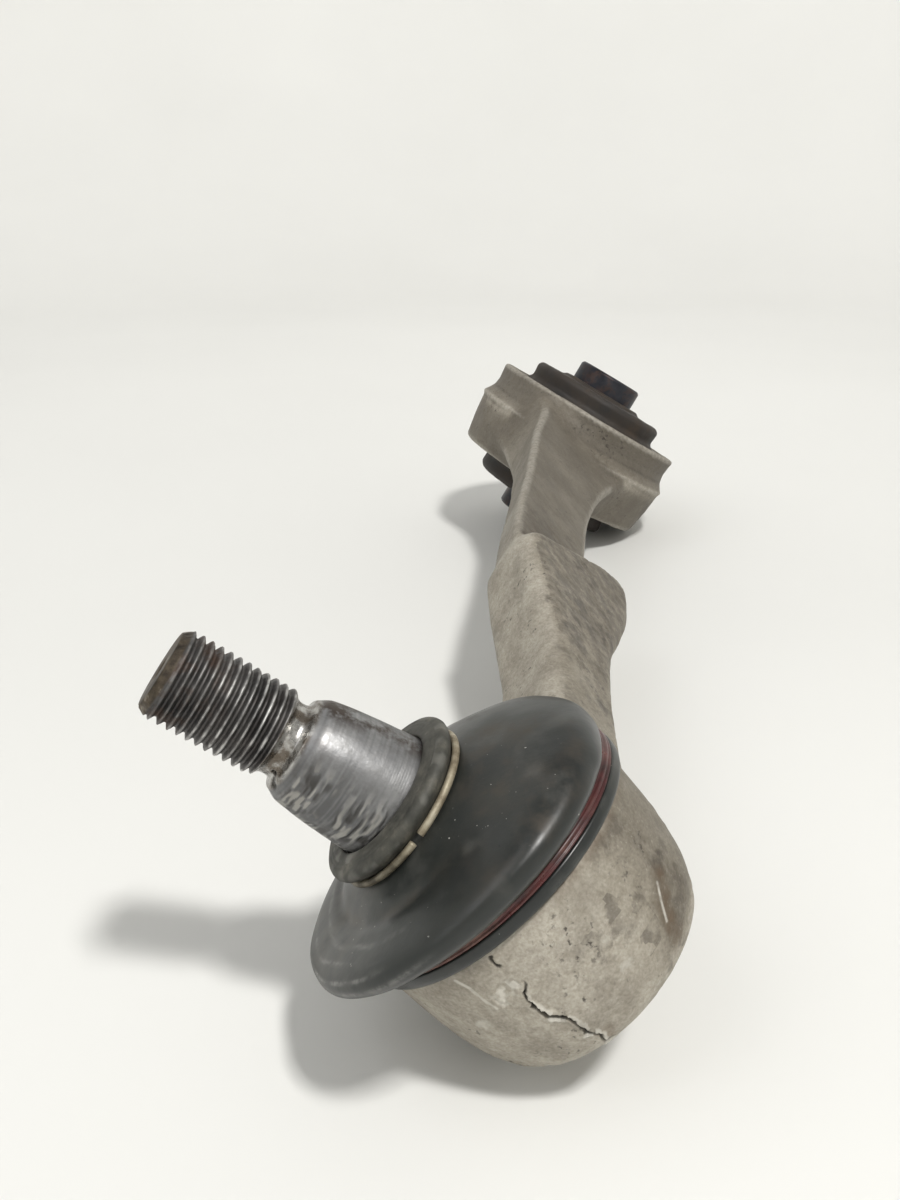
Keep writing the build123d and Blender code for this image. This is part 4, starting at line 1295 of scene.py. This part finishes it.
def masks_boot():
    rings, steps = boot_rings.shape[:2]
    p = boot_p
    n_out = len(outer)
    n_wall = len(wall_out)
    k = np.repeat(np.arange(rings), steps)
    j = np.tile(np.arange(steps), rings)
    up = p @ ARM.T  # row directions, for what faces up
    lift = sstep(4, 26, up[:, 2] + 0.25 * up[:, 0])
    lipm = ((k >= 14 + n_wall + 4) & (k < n_out)).astype(float)
    dust = 0.62 * lift * sstep(14 + 10, 14 + 24, k) * sstep(-0.5, 0.4, fbm(p, 7.0, 2, 171) + 0.1)
    # the low side of the bulge lightened: grey bloom plus painted reflection
    side = h_dir[j] @ np.array([-0.35, 0.93, 0])
    bloom_and_reflection = 0.75 * sstep(0.55, 0.98, side) * sstep(14 + 4, 14 + 15, k)
    # light scuffed arcs on the low side of the bulge
    arc = fbm(np.stack([k / 2.6, np.cos(bt[j]) * 3.0, np.sin(bt[j]) * 3.0], 1), 1.0, 2, 173)
    bloom_and_reflection = np.maximum(bloom_and_reflection, 1.0 * sstep(0.12, 0.5, arc) * sstep(0.45, 0.9, side) * sstep(14 + 2, 14 + 8, k) * sstep(14 + 40, 14 + 26, k))
    bloom_and_reflection = np.maximum(bloom_and_reflection, 0.30 * sstep(0.1, 0.5, fbm(p, 5.0, 2, 175)))
    crease = 0.35 * np.exp(-((((k - 14) / n_wall) - 0.80) / 0.03) ** 2) * np.clip(lean[j], 0, 1) * sstep(-0.3, 0.3, fbm(p, 3.0, 2, 177))
    lipedge = lipm * (k >= n_out - 12) * 0.55 * sstep(0.2, 0.9, h_dir[j] @ np.array([-0.6, 0.8, 0])) * sstep(-0.2, 0.3, fbm(p, 1.6, 2, 179))
    lipedge = np.maximum(lipedge, 0.30 * ((k >= 14 + n_wall + 8) & (k < 14 + n_wall + 13)) * sstep(0.0, 0.4, fbm(p, 2.0, 2, 181)))
    scuff = np.zeros(len(p))
    azim = h_dir[j] @ np.array([-0.55, 0.83, 0])
    for kc, wd, st0, amp, sd in ((24.0, 1.0, 0.68, 0.60, 201), (31.0, 0.8, 0.80, 0.45, 203), (17.0, 1.3, 0.50, 0.40, 205), (38.0, 0.8, 0.55, 0.30, 207)):
        kk = k - 14 - kc + 2.2 * fbm(p, 9.0, 1, sd)
        scuff = np.maximum(scuff, amp * np.exp(-((kk / wd) ** 2)) * sstep(st0, st0 + 0.2, azim) * (0.25 + 0.75 * sstep(-0.5, 0.1, fbm(p, 3.2, 2, sd + 1))))
    float_attr(boot_body, "scuff", np.clip(scuff * (1 - lipm), 0, 1))
    float_attr(boot_body, "dust", np.clip(dust * (1 - lipm), 0, 1))
    float_attr(boot_body, "bloom_and_reflection", np.clip(bloom_and_reflection * (1 - lipm), 0, 1))
    float_attr(boot_body, "crease", np.clip(crease, 0, 1))
    float_attr(boot_body, "lip", lipm)
    float_attr(boot_body, "lipedge", np.clip(lipedge, 0, 1))


def masks_rings():
    for o, name in ((ring_piece, "ring_darkening"), (lower_piece, "worn")):
        v = np.zeros(len(o.data.vertices) * 3)
        o.data.vertices.foreach_get("co", v)
        p = (v.reshape(-1, 3) / (K * 1e-3) - C) @ ARM
        if name == "ring_darkening":
            q = p - COLLAR_O
            rel = (g0 - np.arctan2(q @ COLLAR_B[:, 1], q @ COLLAR_B[:, 0])) % (2 * math.pi)
            # darker over most of the round away from the gap, and in patches
            val = 0.12 + 0.88 * sstep(0.08, 0.34, rel) * sstep(3.4, 2.4, rel)
            val = np.maximum(val, 0.45 * sstep(0.1, 0.5, fbm(p, 3.0, 2, 183)))
        else:
            side = p @ np.array([-0.72, 0.69, 0.0]) / 26.0
            val = 0.75 * np.exp(-(((side - 0.72) / 0.22) ** 2)) + 0.25 * sstep(0.0, 0.5, fbm(p, 4.0, 2, 185))
        float_attr(o, name, np.clip(val, 0, 1))


masks_rings()
masks_arm()
masks_stud()
masks_boot()

mat_forged = forged_material()
arm_skin.data.materials.append(mat_forged)
stud_turned.data.materials.append(steel_material())
boot_body.data.materials.append(boot_material())
ring_piece.data.materials.append(ring_material())
lower_piece.data.materials.append(maroon_material())
bush_moulding.data.materials.append(bush_rubber_material())
bush_core.data.materials.append(dark_steel_material("sleeve_steel", (0.012, 0.013, 0.018), (0.045, 0.046, 0.055), 0.7, 0.38, 0.55, 0.25))
bush_shell.data.materials.append(dark_steel_material("shell_steel", (0.10, 0.09, 0.08), (0.24, 0.22, 0.20), 0.8, 0.40, 0.60, 0.35))
mat_liner = plastic_material()
mat_closing = dark_steel_material("closing_steel", (0.10, 0.10, 0.10), (0.26, 0.26, 0.26), 0.9, 0.35, 0.5)
for node, mat in (("ball_liner", mat_liner), ("closing_ring", mat_closing)):
    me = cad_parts[node].data
    me.materials.clear()
    me.materials.append(mat)
    me.polygons.foreach_set("use_smooth", np.zeros(len(me.polygons), bool))

# ------------------------------------------------------------------ what each piece rides on
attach(arm_skin, "arm")
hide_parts("arm_forging")
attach(stud_turned, "stud")
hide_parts("ball_stud")
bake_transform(boot_body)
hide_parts("dust_boot")
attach(ring_piece, "stud_carrier")
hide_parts("boot_upper_ring")
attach(lower_piece, "arm")
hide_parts("boot_lower_ring")
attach(bush_moulding, "arm")
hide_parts("bush_rubber")
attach(bush_core, "bush_core")
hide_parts("bush_inner_sleeve")
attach(bush_shell, "arm")
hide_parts("bush_outer_sleeve")

# ------------------------------------------------------------------ floor, light, camera
# a pale round sweep: floor that curves up into a wall all round
SWEEP_Y, SWEEP_R = 0.85, 0.60
line = [(0.05, 0.0), (0.2, 0.0), (0.45, 0.0), (SWEEP_Y, 0.0)]
line += [
    (SWEEP_Y + SWEEP_R * math.sin(a), SWEEP_R * (1 - math.cos(a)))
    for a in np.linspace(0, math.pi / 2, 33)[1:]
]
line += [(SWEEP_Y + SWEEP_R, 1.1)]
sa = np.arange(160) * 2 * math.pi / 160
sweep_p = [(r * math.cos(a), r * math.sin(a), z) for r, z in line for a in sa] + [(0.0, 0.0, 0.0)]
sweep_f = [tuple(int(i) for i in q) for q in grid_faces(len(sa), len(line), False)]
sweep_f += [(int((i + 1) % 160), int(i), len(sweep_p) - 1) for i in range(160)]
sweep_me = bpy.data.meshes.new("floor")
sweep_me.from_pydata(sweep_p, [], sweep_f)
sweep_me.validate()
sweep_me.polygons.foreach_set("use_smooth", np.ones(len(sweep_me.polygons), bool))
floor = bpy.data.objects.new("floor", sweep_me)
bpy.context.scene.collection.objects.link(floor)
fm, fnt, fb = new_material("floor_pale")
fn = Net(fnt)
fnt.links.new(fn.ramp(fn.noise(3.0, 3, 0.5), [(0.3, (0.715, 0.715, 0.697)), (0.7, (0.745, 0.745, 0.727))]), fb.inputs["Base Color"])
fb.inputs["Roughness"].default_value = 0.75
floor.data.materials.append(fm)

world = bpy.data.worlds.new("studio")
bpy.context.scene.world = world
world.use_nodes = True
bg = world.node_tree.nodes["Background"]
bg.inputs[0].default_value = (0.975, 0.97, 0.945, 1)
bg.inputs[1].default_value = 0.42
bpy.context.scene.view_settings.view_transform = "Standard"


def area(name, loc, target, size, power, color=(1, 1, 1)):
    ld = bpy.data.lights.new(name, "AREA")
    ld.shape = "RECTANGLE"
    ld.size, ld.size_y = size
    ld.energy = power
    ld.color = color
    o = bpy.data.objects.new(name, ld)
    bpy.context.scene.collection.objects.link(o)
    o.location = loc
    d = Vector(target) - Vector(loc)
    o.rotation_euler = d.to_track_quat("-Z", "Y").to_euler()
    return o


area("key", (0.36, -0.62, 1.25), (0, -0.05, 0.03), (0.16, 0.16), 14.9, (1.0, 0.985, 0.955))
area("fill", (-0.7, -0.4, 0.9), (0, -0.1, 0.03), (0.7, 0.7), 2.4, (0.985, 0.99, 1.0))
area("wall_wash", (0.0, 0.30, 1.05), (0.0, 1.3, 0.80), (1.6, 0.4), 7.0, (1.0, 0.985, 0.96))

PITCH = math.radians(21.8)
cam_data = bpy.data.cameras.new("camera")
cam_data.sensor_fit = "VERTICAL"
cam_data.sensor_height = 24.0
cam_data.lens = 24.0 * 1100.0 / 1200.0
cam_data.clip_start = 0.01
cam_data.dof.use_dof = False
cam = bpy.data.objects.new("camera", cam_data)
bpy.context.scene.collection.objects.link(cam)
cam.location = (-0.018623, -0.274959, 0.129159)
cam.rotation_euler = (math.pi / 2 - PITCH, 0.0, 0.0)
bpy.context.scene.camera = cam
